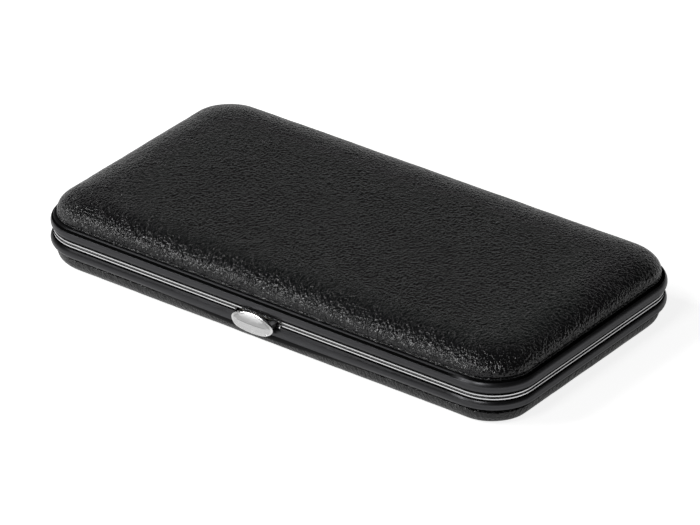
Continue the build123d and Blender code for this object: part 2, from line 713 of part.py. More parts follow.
def nipper_lever(nipper, place):
    """One lever about its pivot, jaws shut along the x axis of its plane: handle above, jaw below.

    Its hub keeps the upper half of the thickness, so that the same lever turned over laps it.
    """
    hub = nipper.hub
    depth = nipper.thickness
    with BuildPart() as lever:
        loft([grip_section(nipper, place, share, 1) for share in GRIP_STATIONS])
        butt = grip_section(nipper, place, GRIP_STATIONS[-1], 1)
        loft([butt, grip_section(nipper, place, 1, GRIP_END)], ruled=True)
        with BuildSketch(place.offset(-depth)):
            with Locations((-hub, JAW_CLEARANCE - hub)):
                Rectangle(4 * hub, 2 * hub)
        extrude(amount=2 * depth, mode=Mode.SUBTRACT)
        with BuildSketch(place.offset(-depth / 2)):
            Circle(hub)
            with BuildLine():
                back = ThreePointArc(
                    (0.2 * hub, -0.97 * hub),
                    (0.62 * nipper.jaw, -0.8 * hub),
                    (nipper.jaw, -JAW_CLEARANCE - 0.25),
                )
                edge = Line(back @ 1, (nipper.jaw, -JAW_CLEARANCE))
                cut = Line(edge @ 1, (0.52 * nipper.jaw, -JAW_CLEARANCE))
                relief = ThreePointArc(
                    cut @ 1, (0.4 * nipper.jaw, -0.32 * hub), (0.9 * hub, -0.2 * hub)
                )
                Polyline(relief @ 1, (0, 0), back @ 0)
            make_face()
        extrude(amount=depth)
        bevel = Plane(origin=place.origin, x_dir=place.x_dir, z_dir=-place.y_dir)
        with BuildSketch(bevel.offset(-hub)):
            for flip in (-1, 1):
                with BuildLine():
                    Polyline(
                        (0.45 * nipper.jaw, flip * (depth / 2 + 0.01)),
                        (nipper.jaw + 1, flip * (depth / 2 + 0.01)),
                        (nipper.jaw + 1, flip * depth * 0.2),
                        close=True,
                    )
                make_face()
        extrude(amount=2 * hub, mode=Mode.SUBTRACT)
        with BuildSketch(place.offset(-depth / 2 - 0.1)):
            Circle(hub + HUB_CLEARANCE)
        extrude(amount=depth / 2 + 0.1 + LAP_CLEARANCE / 2, mode=Mode.SUBTRACT)
        with BuildSketch(place.offset(-depth / 2)):
            Circle(hub * PIVOT_SHARE + PIVOT_CLEARANCE)
        extrude(amount=depth, mode=Mode.SUBTRACT)
    return lever.part


def nipper_places(nipper, middle):
    """Planes of the two levers at rest, sprung open to each side of the tool's own line."""
    swing = radians(nipper.open_angle)
    origin = (nipper.x, nipper.y, middle)
    held = Plane(origin=origin, x_dir=(cos(swing), -sin(swing), 0), z_dir=(0, 0, 1))
    moving = Plane(origin=origin, x_dir=(cos(swing), sin(swing), 0), z_dir=(0, 0, -1))
    return held, moving


def nipper_pivot(nipper, middle):
    """Rivet through both hubs with a low round head on each side."""
    radius = nipper.hub * PIVOT_SHARE
    with BuildPart() as pivot:
        with BuildSketch(Plane.XY.offset(middle - nipper.thickness / 2)):
            with Locations((nipper.x, nipper.y)):
                Circle(radius)
        extrude(amount=nipper.thickness)
        for side in (-1, 1):
            with BuildSketch(Plane.XY.offset(middle + side * nipper.thickness / 2)):
                with Locations((nipper.x, nipper.y)):
                    Circle(nipper.hub * PIVOT_HEAD_SHARE)
            extrude(amount=side * nipper.head_height, taper=25)
    return pivot.part


def nipper_leaf(nipper, place):
    """Return leaf on the inside of one handle, bowed in to the tool's own line."""
    tail = nipper.handle
    with BuildPart() as leaf:
        with BuildSketch(place.offset(-nipper.leaf_width / 2)):
            with BuildLine():
                width = nipper.root_width + (nipper.tail_width - nipper.root_width) * LEAF_SHARE
                grip = grip_point(nipper, LEAF_SHARE)[1] - width / 2
                foot = (-LEAF_SHARE * tail, grip)
                knee = (-0.7 * LEAF_SHARE * tail, 0.5 * grip)
                tip_drop = 2 * nipper.hub * sin(radians(nipper.open_angle))
                tip = (-2 * nipper.hub, 2 * RETURN_LEAF_WALL - tip_drop)
                wall = Vector(0.15, -RETURN_LEAF_WALL)
                outer = ThreePointArc(foot, knee, tip)
                end = Line(tip, Vector(*tip) + wall)
                inner = ThreePointArc(end @ 1, Vector(*knee) + wall, Vector(*foot) + wall)
                Line(inner @ 1, foot)
            make_face()
        extrude(amount=nipper.leaf_width)
    return leaf.part


TOENAIL_MIDDLE = PARTING_HEIGHT - FLOOR + TOOL_CLEARANCE + TOENAIL.head_height + TOENAIL.thickness / 2
CUTICLE_MIDDLE = PARTING_HEIGHT + CEILING - TOOL_CLEARANCE - CUTICLE.head_height - CUTICLE.thickness / 2

for nipper, middle, prefix in ((TOENAIL, TOENAIL_MIDDLE, "nipper"), (CUTICLE, CUTICLE_MIDDLE, "cuticle")):
    held, moving = nipper_places(nipper, middle)
    save(nipper_lever(nipper, held), f"{prefix}_left_lever")
    save(nipper_lever(nipper, moving), f"{prefix}_right_lever")
    save(nipper_pivot(nipper, middle), f"{prefix}_pivot")
    save(nipper_leaf(nipper, held), f"{prefix}_left_leaf")
    save(nipper_leaf(nipper, moving), f"{prefix}_right_leaf")

# Tweezers: two sprung arms on a weld block, lying on their side on the floor of the base
TWEEZER_MIDDLE = PARTING_HEIGHT - FLOOR + TOOL_CLEARANCE + TWEEZER_WIDTH / 2
TWEEZER_PLANE = Plane(origin=(TWEEZER_X, TWEEZER_Y, TWEEZER_MIDDLE), x_dir=(1, 0, 0), z_dir=(0, -1, 0))


def tweezer_arm(side):
    """One arm: bowed in plan, and tapered in height towards the tip and the tail."""
    half = TWEEZER_WALL / 2
    with BuildPart() as arm:
        with BuildSketch(Plane.XY.offset(TWEEZER_MIDDLE - TWEEZER_WIDTH / 2)):
            with BuildLine():
                start = TWEEZER_WELD_HALF + half
                outer_start = (TWEEZER_X, TWEEZER_Y + side * (start + half))
                middle_x = TWEEZER_X + TWEEZER_BOW_SHARE * TWEEZER_LENGTH
                tip_x = TWEEZER_X + TWEEZER_LENGTH
                outer = ThreePointArc(
                    outer_start,
                    (middle_x, TWEEZER_Y + side * (TWEEZER_BOW + half)),
                    (tip_x, TWEEZER_Y + side * (TWEEZER_TIP_OFFSET + half * TWEEZER_TIP_SHARE)),
                )
                inner_tip = (tip_x, TWEEZER_Y + side * (TWEEZER_TIP_OFFSET - half * TWEEZER_TIP_SHARE))
                Line(outer @ 1, inner_tip)
                inner = ThreePointArc(
                    inner_tip,
                    (middle_x, TWEEZER_Y + side * (TWEEZER_BOW - half)),
                    (TWEEZER_X, TWEEZER_Y + side * TWEEZER_WELD_HALF),
                )
                Line(inner @ 1, outer @ 0)
            make_face()
        extrude(amount=TWEEZER_WIDTH)
        with BuildSketch(TWEEZER_PLANE):
            with BuildLine():
                Polyline(
                    (0, -TWEEZER_TAIL_WIDTH / 2),
                    (TWEEZER_WIDE_SHARE * TWEEZER_LENGTH, -TWEEZER_WIDTH / 2),
                    (TWEEZER_SLIM_SHARE * TWEEZER_LENGTH, -TWEEZER_WIDTH / 2),
                    (TWEEZER_LENGTH, -TWEEZER_TIP_WIDTH / 2),
                    (TWEEZER_LENGTH, TWEEZER_TIP_WIDTH / 2),
                    (TWEEZER_SLIM_SHARE * TWEEZER_LENGTH, TWEEZER_WIDTH / 2),
                    (TWEEZER_WIDE_SHARE * TWEEZER_LENGTH, TWEEZER_WIDTH / 2),
                    (0, TWEEZER_TAIL_WIDTH / 2),
                    close=True,
                )
            make_face()
        extrude(amount=TWEEZER_BOW + 2 * TWEEZER_WALL, both=True, mode=Mode.INTERSECT)
    return arm.part


save(tweezer_arm(1), "tweezer_fixed_arm")
save(tweezer_arm(-1), "tweezer_moving_arm")

with BuildPart() as tweezer_tail:
    with BuildSketch(Plane.XY.offset(TWEEZER_MIDDLE - TWEEZER_TAIL_WIDTH / 2)):
        with Locations((TWEEZER_X + TWEEZER_WELD / 2, TWEEZER_Y)):
            Rectangle(TWEEZER_WELD, 2 * (TWEEZER_WELD_HALF - TWEEZER_WELD_CLEARANCE))
    extrude(amount=TWEEZER_TAIL_WIDTH)
save(tweezer_tail.part, "tweezer_tail")

# Cuticle pusher: a turned rod with a grooved grip and a flat blade at each end
PUSHER_MIDDLE = PARTING_HEIGHT - FLOOR + TOOL_CLEARANCE + PUSHER_GRIP_RADIUS
PUSHER_PLANE = Plane(origin=(PUSHER_X, PUSHER_Y, PUSHER_MIDDLE), x_dir=(1, 0, 0), z_dir=(0, -1, 0))

with BuildPart() as cuticle_pusher:
    with BuildSketch(PUSHER_PLANE):
        with BuildLine():
            grip = PUSHER_GRIP_LENGTH / 2
            waist = grip + PUSHER_TAPER
            neck = PUSHER_LENGTH / 2 - PUSHER_BLADE_LENGTH + PUSHER_ROOT
            slim = PUSHER_NECK_RADIUS * PUSHER_NECK_SHARE
            Polyline(
                (-neck, 0), (-neck, slim), (-waist, PUSHER_NECK_RADIUS), (-grip, PUSHER_GRIP_RADIUS),
                (grip, PUSHER_GRIP_RADIUS), (waist, PUSHER_NECK_RADIUS), (neck, slim), (neck, 0),
                close=True,
            )
        make_face()
    revolve(axis=Axis((PUSHER_X, PUSHER_Y, PUSHER_MIDDLE), (1, 0, 0)))
    with BuildSketch(Plane.XY.offset(PUSHER_MIDDLE - PUSHER_BLADE_WALL / 2)):
        for side in (-1, 1):
            with Locations((PUSHER_X + side * (PUSHER_LENGTH - PUSHER_BLADE_LENGTH) / 2, PUSHER_Y)):
                blade_corner = PUSHER_BLADE_WIDTH * PUSHER_BLADE_CORNER
                RectangleRounded(PUSHER_BLADE_LENGTH, PUSHER_BLADE_WIDTH, blade_corner)
    extrude(amount=PUSHER_BLADE_WALL)
save(cuticle_pusher.part, "cuticle_pusher")

# Nail file: a thin pointed blade with its tang in a waisted handle
FILE_MIDDLE = PARTING_HEIGHT + CEILING - TOOL_CLEARANCE - FILE_HANDLE_WALL / 2
FILE_PLANE = Plane(origin=(FILE_X, FILE_Y, FILE_MIDDLE))


def file_blade_outline(margin):
    """Outline of the blade from its tang at negative x to its point, grown by a margin."""
    length = FILE_BLADE_LENGTH
    half = FILE_BLADE_WIDTH / 2 + margin
    tang = -FILE_TANG - margin
    with BuildSketch(FILE_PLANE.offset(-FILE_BLADE_WALL / 2 - margin)) as outline:
        with BuildLine():
            start = length - FILE_POINT_LENGTH
            bend = length - FILE_POINT_CURVE
            slim = half * FILE_TANG_SHARE
            point = half * FILE_POINT_SHARE
            foot = Polyline((start, -half), (tang, -slim), (tang, slim), (start, half))
            tip = ThreePointArc(foot @ 1, (bend, point), (length + margin, 0))
            ThreePointArc(tip @ 1, (bend, -point), foot @ 0)
        make_face()
    return outline.sketch


with BuildPart() as file_blade:
    extrude(file_blade_outline(0), amount=FILE_BLADE_WALL)
save(file_blade.part, "file_blade")


def file_handle_section(share, fullness):
    """Rounded cross-section of the file's handle, at a share of its length behind the blade."""
    origin = (FILE_X - share * FILE_HANDLE_LENGTH, FILE_Y, FILE_MIDDLE)
    width = FILE_HANDLE_WIDTH * fullness
    wall = FILE_HANDLE_WALL * (FILE_HANDLE_FLAT + (1 - FILE_HANDLE_FLAT) * fullness)
    with BuildSketch(Plane(origin=origin, x_dir=(0, 1, 0), z_dir=(1, 0, 0))) as section:
        RectangleRounded(width, wall, wall * GRIP_ROUND)
    return section.sketch


with BuildPart() as file_handle:
    loft([file_handle_section(share, fullness) for share, fullness in FILE_HANDLE_SHAPE])
    slot_height = FILE_BLADE_WALL + 2 * FILE_TANG_CLEARANCE
    extrude(file_blade_outline(FILE_TANG_CLEARANCE), amount=slot_height, mode=Mode.SUBTRACT)
save(file_handle.part, "file_handle")

# Foot rasp: a paddle with a coarse and a fine pad
RASP_MIDDLE = PARTING_HEIGHT + CEILING - 2 * TOOL_CLEARANCE - RASP_PAD_WALL - RASP_WALL / 2
RASP_PLANE = Plane(origin=(RASP_X, RASP_Y, RASP_MIDDLE))

with BuildPart() as rasp_body:
    with BuildSketch(RASP_PLANE.offset(-RASP_WALL / 2)):
        with BuildLine():
            wide = RASP_HEAD_WIDTH / 2
            slim = RASP_GRIP_WIDTH / 2
            right = RASP_LENGTH / 2
            neck = right - RASP_HEAD_LENGTH
            head_top = Line((right - wide, wide), (neck, wide))
            upper = Spline((neck, wide), (neck - RASP_NECK, slim), tangents=((-1, 0), (-1, 0)))
            grip_top = Line(upper @ 1, (-right + slim, slim))
            butt = ThreePointArc(grip_top @ 1, (-right, 0), (-right + slim, -slim))
            grip_low = Line(butt @ 1, (neck - RASP_NECK, -slim))
            lower = Spline((neck - RASP_NECK, -slim), (neck, -wide), tangents=((1, 0), (1, 0)))
            head_low = Line(lower @ 1, (right - wide, -wide))
            ThreePointArc(head_low @ 1, (right, 0), head_top @ 0)
        make_face()
        with Locations((-right + RASP_HOLE_INSET, 0)):
            Circle(RASP_HOLE_RADIUS, mode=Mode.SUBTRACT)
    extrude(amount=RASP_WALL)
save(rasp_body.part, "rasp_body")


def rasp_pad(surface, thickness):
    """Abrasive pad on one face of the paddle's head, from its surface outwards."""
    length = RASP_HEAD_LENGTH - 3 * RASP_PAD_MARGIN
    width = RASP_HEAD_WIDTH - 2 * RASP_PAD_MARGIN
    with BuildPart() as pad:
        with BuildSketch(RASP_PLANE.offset(surface)):
            with Locations((RASP_LENGTH / 2 - RASP_PAD_MARGIN - length / 2, 0)):
                RectangleRounded(length, width, width * 0.46)
        extrude(amount=thickness)
    return pad.part


save(rasp_pad(-RASP_WALL / 2, -RASP_PAD_WALL), "rasp_coarse_pad")
save(rasp_pad(RASP_WALL / 2, RASP_PAD_WALL), "rasp_fine_pad")


def elastic_loop(half, surface, x, y, width, depth):
    """Sewn band over a tool: stands on the lining and clears the tool by the loop clearance."""
    a = width / 2 + LOOP_CLEARANCE + LOOP_WALL
    h = depth + LOOP_CLEARANCE + LOOP_WALL
    place = Plane(origin=(x - LOOP_BAND / 2, y, level(half, surface)), x_dir=(0, 1, 0), z_dir=(1, 0, 0))
    with BuildSketch(place) as band:
        for inset, mode in ((0, Mode.ADD), (LOOP_WALL, Mode.SUBTRACT)):
            side = a - inset
            top = -half.up * (h - inset)
            with BuildLine():
                FilletPolyline((-side, 0), (-side, top), (side, top), (side, 0), radius=LOOP_ROUND - inset)
                Line((side, 0), (-side, 0))
            make_face(mode=mode)
    extrude(band.sketch, amount=LOOP_BAND)


def handle_y(nipper, share):
    """Place across the case of the held handle's middle, at a share of its length, with the tool at rest."""
    swing = radians(nipper.open_angle)
    x, y = grip_point(nipper, share)
    return nipper.y + y * cos(swing) - x * sin(swing)


with BuildPart() as base_loops:
    nipper_x = TOENAIL.x - LOOP_SHARE * TOENAIL.handle
    nipper_depth = TOOL_CLEARANCE + TOENAIL.head_height + TOENAIL.thickness
    elastic_loop(BASE, FLOOR, nipper_x, handle_y(TOENAIL, LOOP_SHARE), TOENAIL.root_width, nipper_depth)
    tweezer_x = TWEEZER_X + TWEEZER_WELD / 2 + TWEEZER_WALL
    tweezer_width = 2 * (TWEEZER_WELD_HALF + TWEEZER_WALL) + TWEEZER_LOOP_SPARE
    elastic_loop(BASE, FLOOR, tweezer_x, TWEEZER_Y, tweezer_width, TOOL_CLEARANCE + TWEEZER_WIDTH)
    for side in (-1, 1):
        pusher_x = PUSHER_X + side * PUSHER_GRIP_LENGTH * PUSHER_LOOP_SHARE
        pusher_width = 2 * PUSHER_GRIP_RADIUS
        elastic_loop(BASE, FLOOR, pusher_x, PUSHER_Y, pusher_width, TOOL_CLEARANCE + pusher_width)
save(base_loops.part, "base_loops")

with BuildPart() as lid_loops:
    foot = CEILING - LID_LOOP_DROP
    nipper_x = CUTICLE.x - LOOP_SHARE * CUTICLE.handle
    nipper_depth = TOOL_CLEARANCE + CUTICLE.head_height + CUTICLE.thickness
    elastic_loop(LID, foot, nipper_x, handle_y(CUTICLE, LOOP_SHARE), CUTICLE.root_width, nipper_depth)
    handle_x = FILE_X - FILE_HANDLE_LENGTH / 2
    elastic_loop(LID, foot, handle_x, FILE_Y, FILE_HANDLE_WIDTH, TOOL_CLEARANCE + FILE_HANDLE_WALL)
    rasp_x = RASP_X - RASP_LENGTH / 2 + RASP_LOOP_INSET
    rasp_depth = 2 * TOOL_CLEARANCE + RASP_PAD_WALL + RASP_WALL
    elastic_loop(LID, foot, rasp_x, RASP_Y, RASP_GRIP_WIDTH, rasp_depth)
save(lid_loops.part, "lid_loops")
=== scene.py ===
"""Dresses the pedicure set: leather covers, foam, linings, elastic bands, metal finishes and the stage.

Every size in the code is in millimetres in the row frame unless its name says otherwise. The origin is the
middle of the rest face, +X runs along the case, the push button faces -Y and +Z points up.
"""

import math

import bmesh
import bpy
from bpy.props import FloatProperty, FloatVectorProperty, PointerProperty
from mathutils import Matrix, Vector, noise


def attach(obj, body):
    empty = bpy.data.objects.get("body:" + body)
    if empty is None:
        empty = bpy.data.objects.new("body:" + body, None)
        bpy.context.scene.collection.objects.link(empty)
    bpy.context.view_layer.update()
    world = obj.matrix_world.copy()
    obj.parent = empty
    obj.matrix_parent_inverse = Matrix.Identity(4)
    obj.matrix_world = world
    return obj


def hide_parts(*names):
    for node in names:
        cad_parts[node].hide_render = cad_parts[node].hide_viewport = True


bl_info = {
    "name": "Pedicure set dressing",
    "version": (1, 0, 0),
    "blender": (4, 5, 0),
    "location": "3D View > Sidebar > Pedicure set",
    "description": "Covers, paddings, linings, bands, finishes and stage of a framed pedicure set",
    "category": "Object",
}

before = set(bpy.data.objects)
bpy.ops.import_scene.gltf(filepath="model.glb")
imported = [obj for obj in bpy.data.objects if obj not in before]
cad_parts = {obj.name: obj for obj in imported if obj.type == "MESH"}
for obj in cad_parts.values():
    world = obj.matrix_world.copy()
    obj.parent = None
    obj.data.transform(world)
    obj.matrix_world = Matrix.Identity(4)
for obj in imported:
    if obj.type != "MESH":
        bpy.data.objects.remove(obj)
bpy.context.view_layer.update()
MM = 0.001

# Case outline at the lips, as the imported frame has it
CASE_LENGTH = 150.0
CASE_WIDTH = 81.0
CORNER_RADIUS = 12.3

# Height of the plane where the lips meet, and how far from it a cover or a padding begins
PARTING = 9.4
LAYER_EDGE = 1.12

# Half of the case: direction from the parting plane, shoulder, crown, flat inset,
# corner radius of the flat, and fullness of the shoulder
HALVES = {
    "lid": (1.0, 4.7, 10.8, 13.7, 4.5, 2.5),
    "base": (-1.0, 4.3, 9.4, 8.2, 5.5, 2.85),
}

# Heights of the close rings at the foot of a cover's shoulder, and the crease among them
FOOT_RINGS = (0.0, 0.1, 0.2, 0.3, 0.4, 0.5, 0.62, 0.76, 0.92, 1.12, 1.36)
CREASE_HEIGHT = 0.38
CREASE_WIDTH = 0.15

# Skirt of a layer: shares of its height that have a ring, and how far below the shoulder it
# ends. Then the number of rings over the flat
SKIRT_RINGS = (0.0, 0.35, 0.7, 0.9)
SKIRT_DROP = 0.15
FLAT_RINGS = 22

# Layers of a half: inset, drop from the crown, thickness at the side and at the crown,
# steps along a long side, a short side and a corner, and rings over the shoulder
COVER = {"inset": 0.85, "drop": 0.0, "wall": 0.8, "crown_wall": 0.8, "steps": (110, 56, 16), "rises": 24}
PADDING = {"inset": 1.7, "drop": 0.85, "wall": 0.6, "crown_wall": 1.1, "steps": (60, 32, 8), "rises": 12}

# Size of a cover's slow swells, the distance under which points are welded, and the angles in
# degrees over which an edge is sharp or is bevelled
SWELL_SIZE = 11.0
WELD = 0.002
SHARP_ANGLE = 40
BEVEL_ANGLE = 35

# Frame rails and lips: distances from the parting plane
RAIL_NEAR = 0.62
RAIL_FAR = {"lid": 4.5, "base": 4.1}
LIP_FACE = 0.17

# Right end of the case: between these places along X the rails' painted shade in the grooves
# and on the slopes changes, so that the rails catch the light there
GLINT_FROM = 57.0
GLINT_TO = 66.0

# Push button: middle, half length and half height of its cap, and the half width of its notch
CAP_MIDDLE = (-2.1, 7.9)
CAP_HALF = (6.6, 2.85)
NOTCH_HALF = 7.15

# Steels: how much of the surface is bare metal, the rest being matt, and the colours
STEEL_SHARE = 0.6
TOOL_STEEL = (0.6, 0.6, 0.61)
SPRING_STEEL = (0.5, 0.5, 0.51)
PIN_STEEL = (0.55, 0.55, 0.56)

# Blacks of painted shade: in a rail's grooves and seam, and on the line between the lips
RAIL_SHADE_BLACK = (0.003, 0.003, 0.003, 1.0)
LIP_GAP_SHADE = (0.004, 0.004, 0.004, 1.0)

# Stage, in metres: the point that both lamps face, and each lamp's place, the direction of
# its long side and its size
AIM = (0.0, 0.0, 0.01)
LEFT_STRIP = ((-0.62, -0.7, 0.66), (0.0, 0.68, 0.73), (0.25, 0.9))
FRONT_BOX = ((0.1, -0.9, 0.75), (1.0, 0.0, 0.0), (0.3, 0.3))

# Floor, in metres: half its side and its height, then its glow as the camera sees it and as
# the part mirrors it
FLOOR_REACH = 9
FLOOR_HEIGHT = -0.00002
FLOOR_SEEN = 0.85
FLOOR_MIRRORED = 0.3
PAPER = (0.8, 0.8, 0.8, 1.0)
WHITE = (1.0, 1.0, 1.0, 1.0)

# Camera: place in metres, its three directions, and how far the picture's middle is off, in pixels
CAMERA_PLACE = (0.865161, -1.217083, 0.833193)
CAMERA_RIGHT = (0.80911393, 0.58737453, 0.01805034)
CAMERA_UP = (-0.29661109, 0.38168277, 0.87540855)
CAMERA_BACK = (0.50730317, -0.71365918, 0.48304665)
PICTURE_WIDTH = 700
PICTURE_SHIFT = (-6.77, -5.17)


# Shader maths


class Wire:
    """A value that runs between two nodes, so that shader maths reads as plain expressions."""

    def __init__(self, paint, socket):
        self.paint = paint
        self.socket = socket

    def math(self, operation, *others):
        """A Math node on this value and up to two more."""
        values = dict(enumerate((self, *others)))
        return self.paint.node("ShaderNodeMath", {"operation": operation}, values)

    def __add__(self, other):
        return self.math("ADD", other)

    def __radd__(self, other):
        return self.math("ADD", other)

    def __sub__(self, other):
        return self.math("SUBTRACT", other)

    def __rsub__(self, other):
        return self.paint.node("ShaderNodeMath", {"operation": "SUBTRACT"}, {0: other, 1: self})

    def __mul__(self, other):
        return self.math("MULTIPLY", other)

    def __rmul__(self, other):
        return self.math("MULTIPLY", other)

    def __truediv__(self, other):
        return self.math("DIVIDE", other)

    def __pow__(self, other):
        return self.math("POWER", other)

    def __abs__(self):
        return self.math("ABSOLUTE")


class Paint:
    """A material, or the world, that is being made with nodes."""

    def __init__(self, name, blocks=None):
        self.block = (bpy.data.materials if blocks is None else blocks).new(name)
        self.block.use_nodes = True
        self.tree = self.block.node_tree
        self.tree.nodes.clear()

    def node(self, kind, settings=None, values=None, out=0):
        """Adds a node: its settings first, then the values or wires of its sockets. Returns one output."""
        node = self.tree.nodes.new(kind)
        for key, value in (settings or {}).items():
            setattr(node, key, value)
        for key, value in (values or {}).items():
            socket = node.inputs[key]
            if isinstance(value, Wire):
                self.tree.links.new(value.socket, socket)
            else:
                socket.default_value = value
        return Wire(self, node.outputs[out]) if len(node.outputs) else None

    def place(self):
        """The point in millimetres, in the piece's own frame."""
        point = self.node("ShaderNodeTexCoord", out="Object")
        return self.node("ShaderNodeVectorMath", {"operation": "SCALE"}, {0: point, "Scale": 1000.0})

    def stretched(self, point, scale, turn=0.0):
        """The point scaled along each axis, after a turn about Z."""
        return self.node(
            "ShaderNodeMapping", {}, {"Vector": point, "Scale": scale, "Rotation": (0.0, 0.0, turn)}
        )

    def warped(self, point, scale, amount):
        """The point pushed about by a coloured noise, so that a pattern doesn't run straight."""
        push = self.node("ShaderNodeTexNoise", {}, {"Vector": point, "Scale": scale, "Detail": 2.0}, out=1)
        centred = self.node(
            "ShaderNodeVectorMath", {"operation": "SUBTRACT"}, {0: push, 1: (0.5, 0.5, 0.5)}
        )
        scaled = self.node("ShaderNodeVectorMath", {"operation": "SCALE"}, {0: centred, "Scale": amount})
        return self.node("ShaderNodeVectorMath", {"operation": "ADD"}, {0: point, 1: scaled})

    def noise(self, point, scale, detail=2.0, roughness=0.5):
        """Noise from 0 to 1."""
        values = {"Vector": point, "Scale": scale, "Detail": detail, "Roughness": roughness}
        return self.node("ShaderNodeTexNoise", {}, values)

    def cells(self, point, scale, feature="F1"):
        """Distance within a pattern of cells."""
        return self.node(
            "ShaderNodeTexVoronoi", {"feature": feature}, {"Vector": point, "Scale": scale}, out="Distance"
        )

    def step(self, value, low, high, start=0.0, end=1.0):
        """A smooth step of the value between two limits."""
        return self.node(
            "ShaderNodeMapRange",
            {"interpolation_type": "SMOOTHSTEP"},
            {"Value": value, "From Min": low, "From Max": high, "To Min": start, "To Max": end},
        )

    def mix(self, factor, low, high):
        """A colour between two colours."""
        return self.node("ShaderNodeMix", {"data_type": "RGBA"}, {0: factor, 6: low, 7: high}, out=2)

    def part(self, point, axis):
        """One coordinate of a point."""
        return self.node("ShaderNodeSeparateXYZ", {}, {0: point}, out=axis)

    def bump(self, height):
        """A normal from a height in millimetres."""
        return self.node("ShaderNodeBump", {}, {"Height": height, "Distance": MM, "Strength": 1.0})

    def finish(self, values):
        """Ends in one surface shader with these sockets, and returns the material."""
        surface = self.node("ShaderNodeBsdfPrincipled", {}, values)
        self.node("ShaderNodeOutputMaterial", {}, {"Surface": surface})
        return self.block


def rgba(colour):
    """A colour with full alpha."""
    return (*tuple(colour)[:3], 1.0)


def shade(colour, factor):
    """A colour made darker or lighter."""
    return tuple(channel * factor for channel in tuple(colour)[:3]) + (1.0,)


# Finishes


def leather_finish(settings):
    """Smooth black leather-look sheet: fine plates, thin creases and a soft gloss."""
    paint = Paint("grained_leather")
    point = paint.place()
    bent = paint.warped(point, 0.45, 1.3)
    net = paint.stretched(bent, (1.0, 0.8, 0.7), 0.25)
    plates = paint.cells(net, 1.0 / settings.grain, "DISTANCE_TO_EDGE")
    groove = paint.step(plates, 0.0, 0.32)
    pebbles = paint.noise(paint.stretched(point, (1.0, 0.75, 0.5), 0.2), 1.5, 1.5, 0.5)
    folds = paint.noise(paint.stretched(bent, (1.0, 0.7, 0.45), 0.3), 0.9, 1.5, 0.5)
    ridge = (1.0 - abs(folds * 2.0 - 1.0)) ** 5.0
    height = groove * 0.07 + pebbles * 0.36 - ridge * 0.18
    tone = paint.noise(point, 0.05, 3.0)
    colour = paint.mix(tone, shade(settings.colour, 0.8), shade(settings.colour, 1.3))
    worn = paint.mix(groove * 0.25, colour, shade(settings.colour, 1.8))
    rough = 0.17 - groove * 0.02 + tone * 0.04
    return paint.finish({
        "Base Color": worn,
        "Roughness": rough,
        "Specular IOR Level": 0.5,
        "Normal": paint.bump(height),
    })


def foam_finish():
    """Open-cell foam in a pale cream, painted darker in its pits as shade."""
    paint = Paint("padding_foam")
    point = paint.place()
    pits = paint.cells(point, 1.6)
    tone = paint.noise(point, 0.15, 3.0)
    colour = paint.mix(tone, (0.62, 0.59, 0.5, 1.0), (0.72, 0.69, 0.6, 1.0))
    return paint.finish({
        # The pits painted darker as painted shade
        "Base Color": paint.mix(paint.step(pits, 0.1, 0.5), shade((0.5, 0.47, 0.4), 0.8), colour),
        "Roughness": 0.95,
        "Normal": paint.bump(pits * 0.25),
    })


def suede_finish(settings):
    """Brushed nap of the linings, with soft lighter strokes."""
    paint = Paint("lining_suede")
    point = paint.place()
    strokes = paint.noise(paint.stretched(point, (0.5, 1.6, 1.0), 0.35), 0.12, 4.0, 0.55)
    fibres = paint.noise(point, 5.0, 3.0, 0.7)
    brushed = paint.step(strokes, 0.3, 0.7)
    colour = paint.mix(brushed, shade(settings.lining, 0.55), shade(settings.lining, 1.7))
    return paint.finish({
        "Base Color": paint.mix(fibres * 0.4, colour, shade(settings.lining, 2.2)),
        "Roughness": 0.92,
        "Sheen Weight": 0.35,
        "Sheen Roughness": 0.4,
        "Normal": paint.bump(fibres * 0.06 + strokes * 0.05),
    })


def elastic_finish():
    """Woven elastic: ribs along the band, crossed by fine threads, painted lighter where they
    cross as a highlight.
    """
    paint = Paint("woven_elastic")
    point = paint.place()
    ribs = abs((paint.part(point, 0) * (math.pi / 1.1)).math("SINE"))
    threads = abs((paint.part(point, 1) * (math.pi / 0.6)).math("SINE"))
    shadow = paint.noise(point, 0.6, 2.0)
    weave = ribs * 0.14 + threads * 0.08
    # The crossings painted lighter as a painted highlight, with patches of painted shade from a slow noise
    tone = ribs * threads * 0.7 + shadow * 0.25
    return paint.finish({
        "Base Color": paint.mix(tone, (0.006, 0.006, 0.007, 1.0), (0.13, 0.13, 0.135, 1.0)),
        "Roughness": 0.8,
        "Sheen Weight": 0.2,
        "Normal": paint.bump(weave),
    })


def metal_finish(name, colour, roughness, brushed, scratch=0.004, spots=0.08):
    """Satin metal with a fine directional finish, small handling marks and a slow change of tone."""
    paint = Paint(name)
    point = paint.place()
    lines = paint.noise(paint.stretched(point, brushed), 2.4, 3.0, 0.7)
    marks = paint.noise(point, 0.35, 4.0, 0.6)
    tone = paint.mix(marks, shade(colour, 1.0 - spots), shade(colour, 1.0 + spots))
    return paint.finish({
        "Base Color": tone,
        "Metallic": STEEL_SHARE,
        "Roughness": roughness + (lines - 0.5) * 0.1 + (marks - 0.5) * 0.08,
        "Normal": paint.bump(lines * scratch),
    })


